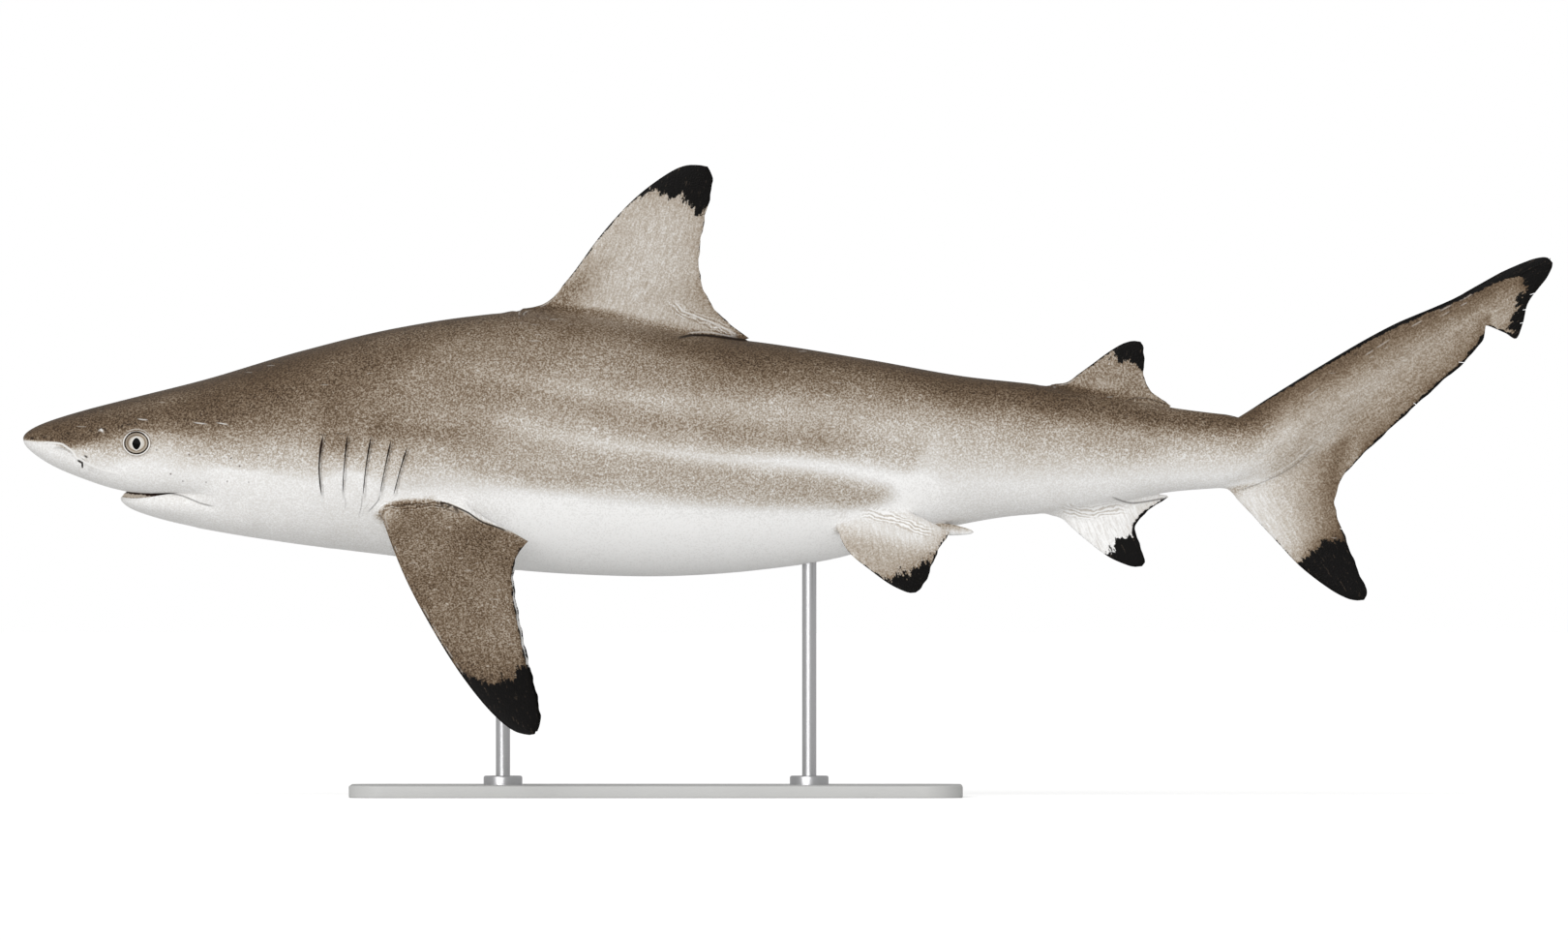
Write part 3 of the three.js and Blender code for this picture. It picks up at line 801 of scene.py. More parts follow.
def gill_measures(points):
    """How far a point lies behind the nearest slit, and how much that slit governs it."""
    s, h = points[:, 0], points[:, 2]
    behind, weight = np.full(len(points), 99.0), np.zeros(len(points))
    for gill in GILLS:
        down = (gill[1] - h) / (gill[1] - gill[3])
        gap = s - gill_line(gill, down)[0]
        within = span(down, -0.08, 0.12, 0.88, 1.15)
        nearer = np.abs(gap) < np.abs(behind)
        behind = np.where(nearer, gap, behind)
        weight = np.where(nearer, within, weight)
    return behind, weight


def swell_gills(points):
    """The flap ahead of each slit lifts, and the skin behind it dips."""
    behind, weight = gill_measures(points)
    lift = np.where(behind < 0, 1.5 * np.exp(behind / 6.0), -1.7 * np.exp(-behind / 5.0))
    side = np.sign(points[:, 1])
    points[:, 1] += side * lift * weight * (np.abs(points[:, 1]) > 40)


def eye_ring(s, h):
    """The distance from the middle of the eye, on a scale where the eye is round."""
    return np.hypot(s - EYE["s"], (h - EYE["h"] - 0.5) * EYE["long"] / EYE["tall"])


def push_out(points, amount, low, high):
    """Moves points away from the midline, fully where they already stand high off it."""
    y = points[:, 1]
    y += np.sign(y) * amount * smooth(np.abs(y), low, high)


def shape_eyes(points):
    """A raised lid round each eye, a shallow furrow round that, and a brow over it."""
    r = eye_ring(points[:, 0], points[:, 2])
    lid = 1.3 * bump(r - 13.0, 1.5) - 0.8 * bump(r - 16.5, 2.4)
    over = points[:, 2] - EYE["h"]
    brow = 1.4 * bump(over - 19.0, 6.0) * bump(points[:, 0] - EYE["s"], 26.0)
    push_out(points, lid + brow, 30, 40)


def shape_nostrils(points):
    """A flap in front of each nostril and a furrow that leads back from it."""
    s, h = points[:, 0] - NOSTRIL["s"], points[:, 2] - NOSTRIL["h"]
    flap = 1.3 * bump(s + 4.2, 2.0) * bump(h + 0.5, 4.5)
    rim = 0.7 * bump(np.hypot(s, h) - 7.0, 2.0)
    furrow = -0.8 * bump(h + 2.0 + 0.45 * s, 1.8) * span(s, 3, 8, 14, 30)
    fold = -0.7 * bump(h - 9.0 + 0.45 * (s + 14.0), 1.6) * span(s, -34, -26, -8, -3)
    push_out(points, flap + rim + furrow + fold, 20, 30)


def shape_mouth_corner(points):
    """The furrow that runs back and down from each corner of the mouth."""
    s, h = points[:, 0], points[:, 2]
    course = -43.0 - 0.36 * (s - MOUTH["corner"])
    along = span(s, MOUTH["corner"] - 5, MOUTH["corner"] + 2, 176, 198)
    dip = -2.0 * bump(h - course, 2.4) * along
    push_out(points, dip, 30, 40)


def shape_tail_pit(points):
    """The notch over the root of the tail fin."""
    s, h = points[:, 0], points[:, 2]
    top = BODY["above"](s)
    pit = -1.8 * bump(s - 1191.0, 5.0) * bump(h - top, 8.0)
    points[:, 2] += pit * (s > 1160)


def skin_body():
    """Head, jaw, trunk and tail in one closed mesh, before the fins are joined."""
    skin = loft("shark_skin", BODY, 116, 350, body_spacing)
    split_where(skin, near_gills)
    split_where(skin, near_eye(24))
    split_where(skin, near_eye(19))
    split_where(skin, near_nostril)
    split_where(skin, near_nostril)
    body_tree = tree_of(skin)
    jaw = loft("jaw", JAW, 96, 64, jaw_spacing)
    roof = loft("roof", BODY, 96, 200, body_spacing, mouth_gap)
    combine(jaw, roof, "DIFFERENCE")
    jaw_tree = tree_of(jaw)
    combine(skin, jaw, "UNION")
    combine(skin, loft("core", MOUTH_CORE, 64, 40, jaw_spacing), "UNION")
    return skin, body_tree, jaw_tree


def fins_of(*names):
    """The named fins, each paired one on both sides, with their search trees."""
    blades, trees = [], []
    for name in names:
        for side in SIDES.values() if "spread" in FINS[name] else [1.0]:
            blades.append(fin_shape(name, side))
            trees.append((tree_of(blades[-1]), FINS[name]))
    return gathered(blades), trees


def small_cutters():
    cutters = [slot_cutter(*slot) for slot in SLOTS]
    for side in SIDES.values():
        nostril = [NOSTRIL["s"], side * NOSTRIL["y"], NOSTRIL["h"]]
        cutters.append(eye_shape("socket", side, 72, 36, 0.5))
        cutters.append(ellipsoid("nostril", [1.0, 6.5, 3.8], nostril, 32, 16))
        cutters += [gill_cutter(gill, side) for gill in GILLS]
    return gathered(cutters)


def make_skin():
    skin, body_tree, jaw_tree = skin_body()
    fin_trees = []
    free_fins = ("first_dorsal", "second_dorsal", "anal", "pectoral", "pelvic")
    for names in (free_fins, ("caudal_web",), ("caudal_tip", "caudal_lower")):
        blades, trees = fins_of(*names)
        base = tree_of(skin) if names != free_fins else body_tree
        fin_trees += [(base, tree, fin) for tree, fin in trees]
        combine(skin, blades, "UNION")
    combine(skin, gathered([clasper_shape(side) for side in SIDES.values()]), "UNION")
    points = mesh_points(skin.data)
    fillet_jaw(points, body_tree, jaw_tree)
    moved = np.zeros(len(points), bool)
    for base, tree, fin in fin_trees:
        moved |= fillet_fin(points, base, tree, fin)
    move_mesh(skin.data, points)
    even_out(skin, moved, 3)
    even_out(skin, near_throat(points), 12)
    points = mesh_points(skin.data)
    level_throat(points)
    move_mesh(skin.data, points)
    combine(skin, small_cutters(), "DIFFERENCE")
    return skin, body_tree


def corner_faces(piece):
    """Cuts the many-sided faces that the joins leave into triangles."""
    with opened(piece) as bm:
        bmesh.ops.triangulate(bm, faces=[face for face in bm.faces if len(face.verts) > 4])


# ---- The skin's markings ------------------------------------------------------

# Level lines of the brown on the flank: above each line, h against s, the hide is at
# least as brown as the tone it starts with. 0 is white and 1 the darkest brown.
LEVELS = [
    (0.03, line([
        [0, 9.4], [15, 7.4], [30, 5], [45, -3], [60, -20], [111, -16], [170, -27], [200, -19],
        [260, -29], [285, -36], [328, -25], [350, -38], [420, -46], [480, -42], [600, -55],
        [760, -61], [840, -57], [885, -42], [930, -38], [980, -38], [1050, -34], [1100, -31],
        [1150, -30], [1192, -30],
    ])),
    (0.20, line([
        [0, 9.8], [15, 8], [30, 6.5], [45, 0.5], [60, -1], [85, -6], [111, -4], [140, 4],
        [170, -8], [230, -18], [285, -20], [328, -17], [350, -24], [420, -23], [480, -33],
        [600, -44], [760, -54], [840, -49], [865, -36], [885, -13], [910, -11], [950, -12],
        [980, -12], [1010, -10], [1050, -12], [1100, -11], [1150, -8], [1192, -6],
    ])),
    (0.35, line([
        [0, 10.1], [15, 8.4], [30, 7], [45, 1.3], [60, 2], [85, 2], [111, 8], [140, 12],
        [170, 6], [200, -2], [230, 2], [260, 5], [305, -7], [350, -5], [390, -9], [450, -19],
        [520, -29], [600, -36], [760, -46], [840, -42], [865, -20], [885, 10], [900, 22],
        [920, 25], [950, 20], [980, 13], [1010, 10], [1050, 3], [1100, 0], [1150, 8], [1192, 3],
    ])),
    (0.43, line([
        [0, 10.4], [15, 8.7], [30, 7.5], [45, 1.8], [60, 4], [85, 6], [111, 14], [140, 15],
        [170, 11], [200, 4], [230, 8], [260, 10], [305, -3], [350, 2], [390, 6], [420, 4],
        [450, 2], [480, 30], [500, 52], [530, 61], [560, 62], [600, 54], [680, 50], [760, 48],
        [840, 39], [880, 36], [920, 31], [950, 26], [980, 22], [1050, 20], [1100, 12],
        [1150, 13], [1192, 9],
    ])),
    (0.62, line([
        [0, 11], [15, 8.9], [30, 7.7], [45, 2.6], [60, 6], [85, 11], [111, 18], [140, 18],
        [170, 16], [200, 18], [230, 20], [260, 28], [285, 24], [305, 5], [328, 11], [350, 26],
        [368, 55], [390, 88], [450, 98], [560, 104], [600, 97], [680, 72], [760, 64],
        [840, 59], [880, 49], [920, 40], [950, 38], [980, 36], [1010, 30], [1050, 30],
        [1100, 23], [1150, 18], [1192, 16],
    ])),
    (0.80, line([
        [0, 12], [15, 10], [30, 9], [45, 7.5], [60, 10.5], [85, 17], [111, 26], [140, 30], [170, 27],
        [200, 31], [230, 43], [260, 54], [300, 82], [350, 108], [420, 122], [500, 134],
        [560, 128], [600, 113], [720, 84], [800, 80], [880, 63], [920, 53], [950, 50],
        [980, 43], [1050, 41], [1100, 30], [1150, 26], [1192, 22],
    ])),
]

# Bands along the flank: centre line, half width and strength against s.
BANDS = [
    # The white wedge over the lower brown band, which opens into the white belly.
    [[[400, 44], [450, 36], [480, 26], [520, 15], [560, 8], [600, 2], [680, -8], [760, -13],
      [800, -18], [840, -26], [880, -34], [1000, -50]],
     [[400, 9], [700, 9], [800, 12], [880, 14]],
     [[400, 0], [450, -0.04], [480, -0.1], [560, -0.18], [680, -0.26], [760, -0.34],
      [860, -0.34], [900, 0]]],
    # A pale and a dark streak over the wedge.
    [[[400, 84], [450, 74], [520, 66], [560, 57], [640, 45], [760, 35], [880, 20]],
     [[400, 10], [900, 9]],
     [[400, 0], [450, -0.07], [640, -0.09], [840, -0.05], [940, 0]]],
    [[[400, 66], [450, 58], [520, 45], [600, 31], [680, 19], [760, 9], [840, 5]],
     [[400, 9], [600, 9], [760, 7]],
     [[400, 0], [450, 0.06], [700, 0.09], [811, 0.06], [900, 0]]],
    # A paler shoulder along the root of the first dorsal fin.
    [[[500, 140], [560, 131], [610, 124], [670, 115]],
     [[500, 9], [670, 10]],
     [[510, 0], [535, -0.14], [580, -0.34], [630, -0.36], [660, -0.28], [690, 0]]],
    # The same along the root of the second.
    [[[1015, 58], [1060, 52], [1100, 46], [1150, 38]],
     [[1015, 8], [1150, 8]],
     [[1020, 0], [1050, -0.12], [1095, -0.22], [1130, -0.2], [1160, -0.08], [1190, 0]]],
    # A dark patch behind the gills.
    [[[340, 20], [380, 18], [430, 12], [460, 8]],
     [[340, 11], [460, 11]],
     [[335, 0], [350, 0.13], [368, 0.15], [395, 0.19], [420, 0.18], [445, 0.08], [465, 0]]],
    # The end of the flank, where the lower brown band runs out.
    [[[780, 10], [920, 10]],
     [[780, 22], [920, 22]],
     [[780, 0], [810, -0.06], [845, -0.12], [885, -0.12], [915, 0]]],
    # A paler band along the top of the head: a painted sheen.
    [[[0, 20], [72, 33], [130, 46], [181, 57], [260, 76]],
     [[0, 4], [130, 5], [260, 6]],
     [[0, 0], [60, -0.06], [120, -0.12], [181, -0.06], [230, 0]]],
]

FAR = 60.0


def body_tone(s, h):
    """How brown the body is at s and h. The belly is the whitest part."""
    steps = [*LEVELS, (0.93, lambda s: np.maximum(BODY["above"](s), LEVELS[-1][1](s) + 6.0))]
    tone = np.full(len(s), 0.0)
    low, edge = 0.0, steps[0][1](s) - 12.0
    for level, course in steps:
        above = np.maximum(course(s), edge + 0.3)
        tone += (level - low) * np.clip((h - edge) / (above - edge), 0.0, 1.0)
        low, edge = level, above
    for band in BANDS:
        centre, width, strength = (bent(course, s) for course in band)
        tone += strength * bump(h - centre, width)
    belly = span(s, 430, 500, 850, 930)
    return np.clip(tone, 0.06 * (1.0 - belly), 1.0)


TAIL_START, TAIL_FULL = 1192.0, 1238.0
TAIL_FOLD = [[1186, -44], [1197, -38], [1235, -21], [1269, -4], [1300, 16]]
# The brown of the tail fin, against the distance from the top and from the rear edge of
# its upper lobe, against s on the lower lobe, and against the distance from its rear edge.
TAIL_TONES = {
    "top": [[0, 0.86], [10, 0.8], [15, 0.74], [20, 0.65], [26, 0.55], [34, 0.46], [44, 0.37],
            [60, 0.38]],
    "rear": [[0, 0.82], [5, 0.69], [12, 0.58], [23, 0.5], [34, 0.44], [45, 0.3], [62, 0.0]],
    "lower": [[1188, 0.12], [1205, 0.16], [1215, 0.23], [1230, 0.3], [1245, 0.34]],
    "lower_rear": [[0, 0.75], [8, 0.62], [15, 0.54], [25, 0.44], [40, 0.3], [54, 0.0]],
}
# Paler spots on it: s, h, half width and strength.
TAIL_SPOTS = [[1207, 4, 23, 0.25], [1208, -24, 14, 0.12], [1238, 18, 14, 0.1], [1280, 2, 16, 0.12]]


def tail_tone(s, h):
    """The tail fin: brown along both edges of its upper lobe, white in front below the fold."""

    def from_edge(name, start, count):
        edge = sweep(FINS[name]["trail"])(np.linspace(start, 1.0, count))
        return np.abs(measure(edge, s, h)[0])

    edge = bent(TAIL_TONES["rear"], np.where(s < 1438, from_edge("caudal_web", 0.12, 60), FAR))
    upper = np.maximum(bent(TAIL_TONES["top"], BODY["above"](s) - h), edge)
    for spot_s, spot_h, reach, share in TAIL_SPOTS:
        upper -= share * bump(np.hypot(s - spot_s, h - spot_h), reach)
    lower = bent(TAIL_TONES["lower"], s + 0.35 * np.minimum(h + 10.0, 0.0))
    rear = bent(TAIL_TONES["lower_rear"], from_edge("caudal_lower", 0.0, 40))
    lower = np.maximum(lower, np.maximum(edge * smooth(s, 1296.0, 1312.0), rear))
    return mix(lower, upper, smooth(measure(TAIL_FOLD, s, h)[0], -7.0, 7.0))


def off_and_along(start, way, s, h):
    """How far the points lie off a line that runs this way from start, and along it."""
    ds, dh = s - start[0], h - start[1]
    return dh * way[0] - ds * way[1], ds * way[0] + dh * way[1]


def measure(course, s, h):
    """The signed distance to a bent line, how far along it that is, and the line's length."""
    course = np.array(course, float)
    near, side, along = np.full(len(s), 1e9), np.ones(len(s)), np.zeros(len(s))
    start = 0.0
    for a, b in zip(course[:-1], course[1:]):
        length = max(np.linalg.norm(b - a), 1e-6)
        way = (b - a) / length
        off, run = off_and_along(a, way, s, h)
        far = np.hypot(off, run - np.clip(run, 0.0, length))
        closer = far < near
        near = np.where(closer, far, near)
        side = np.where(closer, np.where(off < 0.0, -1.0, 1.0), side)
        along = np.where(closer, start + run, along)
        start += length
    return near * side, along, start


def beyond(edge, tip, s, h):
    """The signed distance past a bent line, positive on the side of the fin's tip."""
    course = np.array(edge, float)
    course[0] += (course[0] - course[1]) * 3.0
    course[-1] += (course[-1] - course[-2]) * 3.0
    tip_side = measure(course, *np.array([tip], float).T)[0]
    return measure(course, s, h)[0] * np.sign(tip_side)


# Creases: each one's course, half width and strength, dark above 0 and pale below. The dark
# lines are painted shade in folds, furrows and pits and a painted shadow under the first
# dorsal fin's free rear tip; the flecks on the snout and over the eye are the hide's own
# dark marks. Lines in one list stay well apart.
CREASES = [
    # Painted shadow under the free rear tip of the first dorsal fin.
    [[[640, 109.5], [647, 110.7], [655, 112.2], [669, 112.2], [682, 110.7], [697, 108.6],
      [712, 106.8]], 1.3, 1.0],
    # Back and down from the corner of the mouth.
    [[[143, -43.0], [152, -43.7], [160, -46.2], [168, -49.6], [176, -52.8], [188, -55.5]], 0.8, 0.5],
    # Over the root of the pectoral fin.
    [[[404, -50.5], [416, -52.8], [436, -61], [444, -66.6], [452, -71.3], [464, -75.2],
      [476, -80]], 0.85, 0.95],
    [[[360, -57], [378, -53.5], [398, -53.5], [414, -57], [428, -63]], 0.7, 0.5],
    # Dark flecks on the snout and over the eye.
    [[[7, 11.8], [9, 11.2], [10.8, 11.9]], 1.2, 0.9],
    [[[19.6, 12.8], [21.6, 12.2], [23.4, 13.2]], 1.1, 0.8],
    [[[43.2, 17.2], [44.6, 16], [46, 14.8]], 0.9, 0.8],
    [[[65.8, 19.2], [67.3, 18.6], [68.7, 18.2]], 0.9, 0.8],
    [[[80.6, 21.2], [81.2, 19.4], [82.2, 17.8]], 0.9, 0.8],
    [[[97, 21.8], [98, 23.4], [98.7, 25]], 1.0, 0.8],
    [[[102.4, 24], [104.4, 25], [106.2, 24.1]], 1.0, 0.7],
    [[[110.4, 26.8], [111.6, 25.4], [113, 24.2]], 0.8, 0.7],
    # Below the gill slits.
    [[[314, -43], [317, -52], [315, -60]], 0.6, 0.25],
    [[[333, -44], [332.2, -55], [329, -66]], 0.6, 0.35],
    [[[350, -42], [349.5, -48], [344.7, -54.5], [337.6, -61.6]], 0.7, 0.5],
    # The nostril's upper corner, the small pit behind it, and the furrow in front.
    [[[53.8, -10.2], [56.2, -11.4], [58.6, -12.9]], 1.05, 1.0],
    [[[60.8, -5.4], [62.6, -6.8], [64, -7.6]], 0.9, 0.9],
    [[[30, 2.2], [38, 1.6], [46, -1.4], [50, -5.2]], 1.2, 0.3],
    # Where the two lobes of the tail fin fold.
    [[[1190, -41], [1197, -38], [1216, -31], [1235, -22], [1252, -10], [1266, 4]], 0.7, 0.3],
    # Behind the roots of the anal and second dorsal fins, and over two gill slits.
    [[[1066, -46], [1084, -52], [1104, -50], [1122, -46.5]], 0.9, 0.6],
    [[[1080, 48], [1092, 51], [1106, 49], [1124, 43]], 0.8, 0.5],
    [[[289, 15.5], [300, 14]], 0.6, 0.5],
    [[[306, 16], [319, 15.5]], 0.6, 0.5],
]
PALE_FOLDS = [
    # Painted highlights on the folds from the snout past the nostril, over the root of the
    # pectoral fin, and under the free rear tip of the first dorsal.
    [[[19, 7.4], [36, 6.2], [42.4, 3.3], [48.8, -1.7], [53.1, -8], [58.1, -10.6], [67.3, -15.4],
      [81.5, -20.9], [96, -24]], 1.1, -0.9],
    [[[404, -47.6], [416, -50.2], [426, -54], [437, -59]], 1.0, -0.9],
    [[[650, 114.5], [669, 115.5], [682, 113.4], [700, 109.8]], 0.8, -0.35],
    # Small scars on the head.
    [[[75.4, 18.6], [77.4, 19.8], [79, 17.6]], 1.1, -0.9],
    [[[113, 30.4], [118, 29.6], [123, 29.4]], 0.6, -0.6],
    [[[168, 26.8], [174, 26], [181, 25.4]], 0.6, -0.6],
    [[[191, 26.4], [197, 25.6], [202, 24.4]], 0.6, -0.6],
    # Painted highlights along the root of the first dorsal fin, and where the tail fin folds.
    [[[638, 147], [647, 136], [666, 128], [685, 120], [700, 112]], 1.0, -0.5],
    [[[1199, -34], [1216, -27], [1235, -18], [1252, -6], [1266, 8]], 0.8, -0.3],
]
# Fine folds side by side: the line that they follow, and how far they reach on its two sides.
WRINKLES = [
    [[[350, -69], [355, -62], [363, -57.5], [384, -57], [406, -55.5], [424, -58]], -2, 7],
    [[[634, 150], [645, 138], [664, 130], [684, 122], [700, 114]], -7, 3],
    [[[1014, -52], [1036, -60], [1060, -58], [1084, -56]], -6, 4],
    [[[818, -60], [846, -64], [872, -74], [896, -82]], -6, 4],
]


def crease_marks(creases, s, h):
    """The signed distance to the nearest crease, in its half widths, and its strength there."""
    near, gap, share = np.full(len(s), FAR), np.full(len(s), FAR), np.zeros(len(s))
    for points, half, strength in creases:
        curve = sweep(points)(np.linspace(0.0, 1.0, 8 * len(points)))
        low, high = curve.min(axis=0) - 14.0, curve.max(axis=0) + 14.0
        here = np.nonzero(in_box(s, h, low, high))[0]
        away, along, length = measure(curve, s[here], h[here])
        end = min(6.0, 0.3 * length)
        taper = span(along, -1.0, end, length - end, length + 1.0)
        closer = np.abs(away) < np.abs(near[here])
        here, away, taper = here[closer], away[closer], taper[closer]
        near[here], gap[here] = away, away / half
        share[here] = strength * taper * (1.0 - smooth(np.abs(away), 5.0, 9.0))
    return gap, share


def wrinkle_marks(s, h):
    across, share = np.zeros(len(s)), np.zeros(len(s))
    for points, low, high in WRINKLES:
        away, along, length = measure(sweep(points)(np.linspace(0.0, 1.0, 30)), s, h)
        within = span(along, 0.0, 14.0, length - 16.0, length)
        within *= span(away, low - 3.0, low + 1.0, high - 3.0, high + 3.0)
        across = np.where(within > share, away, across)
        share = np.maximum(share, within)
    return across, share


def belongs(fin, s, h):
    """The points in a fin's box in the side view."""
    outline = np.array(fin["lead"] + fin["trail"] + fin["root"], float)
    return in_box(s, h, outline.min(axis=0) - 16.0, outline.max(axis=0) + 16.0)


def raise_to(mark, here, value):
    """Lifts a mark, at the points here, to a value where that is higher."""
    mark[here] = np.maximum(mark[here], value)


def mark_fin(name, marks, s, h, outer, off_body):
    """Adds one fin's tone, black tip, black rims and ray directions to the marks."""
    fin = FINS[name]
    tail, paired = name.startswith("caudal"), "spread" in fin
    here = belongs(fin, s, h)
    s, h, outer, off_body = s[here], h[here], outer[here], off_body[here]
    lead, trail = (sweep(fin[key])(np.linspace(0.0, 1.0, 60)) for key in ("lead", "trail"))
    from_lead, from_trail = (np.abs(measure(edge[3:], s, h)[0]) for edge in (lead, trail))
    on_fin = smooth(off_body, 0.5, 3.0)
    tip = np.full(len(s), -FAR)
    if fin["tip"]:
        tip = beyond(fin["tip"], fin["lead"][-1] if name != "caudal_tip" else [1500, 160], s, h)
        raise_to(marks["tip"], here, mix(-FAR, tip, on_fin))
    at = {"s": s, "h": h, "off": off_body, "lead": from_lead, "trail": from_trail, "tip": tip}
    tone = fin["tone"](at)
    if paired:
        tone = mix(0.03, tone, outer)
    share = smooth(off_body, 0.0, 4.0 if tail else 3.0 if paired else 10.0)
    if "top" in fin:
        share *= smooth(bent(fin["top"], s) - h, -1.5, 2.0)
    marks["tone"][here] = mix(marks["tone"][here], tone, share)
    raise_to(marks["fin"], here, smooth(off_body, 2.0, 10.0))
    marks["lead"][here] = np.minimum(marks["lead"][here], from_lead)
    for key, far in (("lead_black", from_lead), ("trail_black", from_trail)):
        if fin[key]:
            raise_to(marks["rim"], here, mix(-FAR, bent(fin[key], s) - far, on_fin))
    if tail and "rays" not in fin:
        return
    root = np.mean(fin["root"], axis=0)
    end = np.mean([fin["lead"][-1], fin["trail"][-1]], axis=0)
    if tail:
        root, end = np.array(fin["rays"], float)
        fold = measure(TAIL_FOLD, s, h)[0]
        below = fold < 0.0
        here = np.nonzero(here)[0][below]
        s, h = s[below], h[below]
        marks["fin"][here] *= smooth(-fold[below], 2, 16)
    way = (end - root) / np.linalg.norm(end - root)
    marks["rays"][here, :2] = np.stack(off_and_along(root, way, s, h), axis=1)


def mouth_depth(points):
    """How deep inside the lips a point lies, and how much of it is pale gum."""
    s, y, h = points.T
    roof = underside(s, y)
    within = (h > roof - mouth_gap(s) - 1.0) & (h < roof + 0.6)
    within &= (s > MOUTH["front"]) & (s < MOUTH["corner"])
    tall = np.maximum(JAW["above"](s) - JAW["middle"](s), 1e-6)
    rise = np.clip((h - JAW["middle"](s)) / tall, 0.0, 1.0)
    jaw_side = JAW["half"](s) * arc(rise, SQUARE_ABOVE)
    depth = jaw_side - np.abs(y)
    down = (roof - h) / np.maximum(mouth_gap(s), 0.3)
    pale = (1.0 - smooth(np.abs(down - 0.58), 0.24, 0.42)) * (1.0 - smooth(s, 123, 139))
    return np.where(within, np.maximum(depth, 0.0), 0.0), np.where(within, pale, 0.0)


def cut_depth(points):
    """How deep a point lies in a gill slit or a nostril."""
    s, y, h = points.T
    depth = flank(s, h) - np.abs(y)
    behind, weight = gill_measures(points)
    slit = (np.abs(behind + 0.4 * np.maximum(depth, 0.0)) < 2.6) & (weight > 0.02)
    hole = np.hypot(s - NOSTRIL["s"], h - NOSTRIL["h"]) < 9
    return np.where(slit | hole, np.maximum(depth, 0.0), 0.0)


LATERAL_LINE = [[960, -3], [1160, -5]]
# How wide the black rim along the top of the tail fin is, and which way its rays run.
UPPER_RIM = [[1190, -2], [1215, 1.8], [1300, 3.8], [1389, 5.2], [1436, 7.2], [1465, 12], [1485, 26]]
RAY_RISE = 0.62


def paint(skin, off_body, inside, mouth):
    """Stores the markings on the skin's points, alike on both sides."""
    mesh = skin.data
    points = mesh_points(mesh)
    s, y, h = points.T
    normals = np.empty(len(points) * 3)
    mesh.vertex_normals.foreach_get("vector", normals)
    normals = normals.reshape(-1, 3)
    tail_share = smooth(s, TAIL_START, TAIL_FULL)
    way = np.array([1.0, RAY_RISE]) / math.hypot(1.0, RAY_RISE)
    rays = np.stack(off_and_along((TAIL_START, 0.0), way, s, h), axis=1) * tail_share[:, None]
    marks = {
        "tone": mix(body_tone(np.minimum(s, TAIL_START), h), tail_tone(s, h), tail_share),
        "tip": np.full(len(s), -FAR),
        "rim": np.full(len(s), -FAR),
        "lead": np.full(len(s), FAR),
        "fin": tail_share * 0.8,
        "caudal": tail_share,
        "inside": inside,
        "mouth": mouth[0],
        "gum": mouth[1],
        "pore": span(s, 108, 140, 220, 262) * span(h, -36, -28, -2, 8),
        "eye_ring": np.minimum(eye_ring(s, h), FAR),
        "brow_ring": smooth(h - EYE["h"], 2, 9) * smooth(s, 98, 108),
        "lateral": h - bent(LATERAL_LINE, s) + FAR * (1.0 - span(s, 955, 965, 1155, 1165)),
        "rays": np.pad(rays, ((0, 0), (0, 1))),
    }
    marks["crease"], marks["crease_share"] = crease_marks(CREASES, s, h)
    marks["pale"], marks["pale_share"] = crease_marks(PALE_FOLDS, s, h)
    marks["wrinkle"], marks["wrinkle_share"] = wrinkle_marks(s, h)
    outer = smooth(normals[:, 1] * np.sign(y), -0.6, -0.25)
    for name in FINS:
        mark_fin(name, marks, s, h, outer, off_body)
    from_top = np.where(s > UPPER_RIM[0][0], BODY["above"](s) - h, FAR)
    marks["rim"] = np.maximum(marks["rim"], bent(UPPER_RIM, s) - from_top)
    clasper = (off_body > 1.0) & (np.abs(y) < 29) & (s > 860) & (s < 935) & (h < -60)
    marks["tone"] = np.where(clasper, 0.45 * smooth(h, -84, -72), marks["tone"])
    for edge in ("tip", "rim"):
        marks[edge] = np.where(clasper, -FAR, marks[edge])
    marks["tone"] = np.clip(marks["tone"], 0.0, 1.0)
    for name, value in marks.items():
        store(mesh, name, value)


def to_place(piece):
    """Turns the shark's own places, in millimetres, into the frame's, in metres."""
    piece.data.transform(Matrix.Translation((SNOUT, 0.0, AXIS)) @ Matrix.Scale(MM, 4))
    return piece


def finish_skin(skin, body_tree):
    corner_faces(skin)
    points = mesh_points(skin.data)
    inside, mouth = cut_depth(points), mouth_depth(points)
    off_body = np.array([body_tree.find_nearest(Vector(p))[3] for p in points])
    swell_gills(points)
    shape_eyes(points)
    shape_nostrils(points)
    shape_mouth_corner(points)
    shape_tail_pit(points)
    move_mesh(skin.data, points)
    paint(skin, off_body, inside, mouth)
    to_place(skin)
    skin.data.materials.clear()


# ---- Node tools ---------------------------------------------------------------


class Value:
    """A node's output, to be reckoned with like a number."""

    def __init__(self, socket):
        self.tree, self.socket = socket.id_data, socket

    def __add__(self, other):
        return calc("ADD", self, other)

    def __radd__(self, other):
        return calc("ADD", other, self)

    def __sub__(self, other):
        return calc("SUBTRACT", self, other)

    def __rsub__(self, other):
        return calc("SUBTRACT", other, self)

    def __mul__(self, other):
        return calc("MULTIPLY", self, other)

    def __truediv__(self, other):
        return calc("DIVIDE", self, other)

    def __pow__(self, other):
        return calc("POWER", self, other)

    def __abs__(self):
        return calc("ABSOLUTE", self)

    def clamped(self):
        """The same, held between 0 and 1."""
        self.socket.node.use_clamp = True
        return self


def fill(node, inputs):
    """Links each of a node's inputs to a value, or sets it to a number."""
    for key, value in inputs.items():
        if isinstance(value, Value):
            value.tree.links.new(value.socket, node.inputs[key])
        else:
            node.inputs[key].default_value = value


def add(tree, kind, output, inputs=None, **settings):
    """One output of a new shader node."""
    node = tree.nodes.new("ShaderNode" + kind)
    for key, value in settings.items():
        setattr(node, key, value)
    fill(node, inputs or {})
    return Value(node.outputs[output])


def calc(operation, *values):
    tree = next(value.tree for value in values if isinstance(value, Value))
    return add(tree, "Math", 0, dict(enumerate(values)), operation=operation)


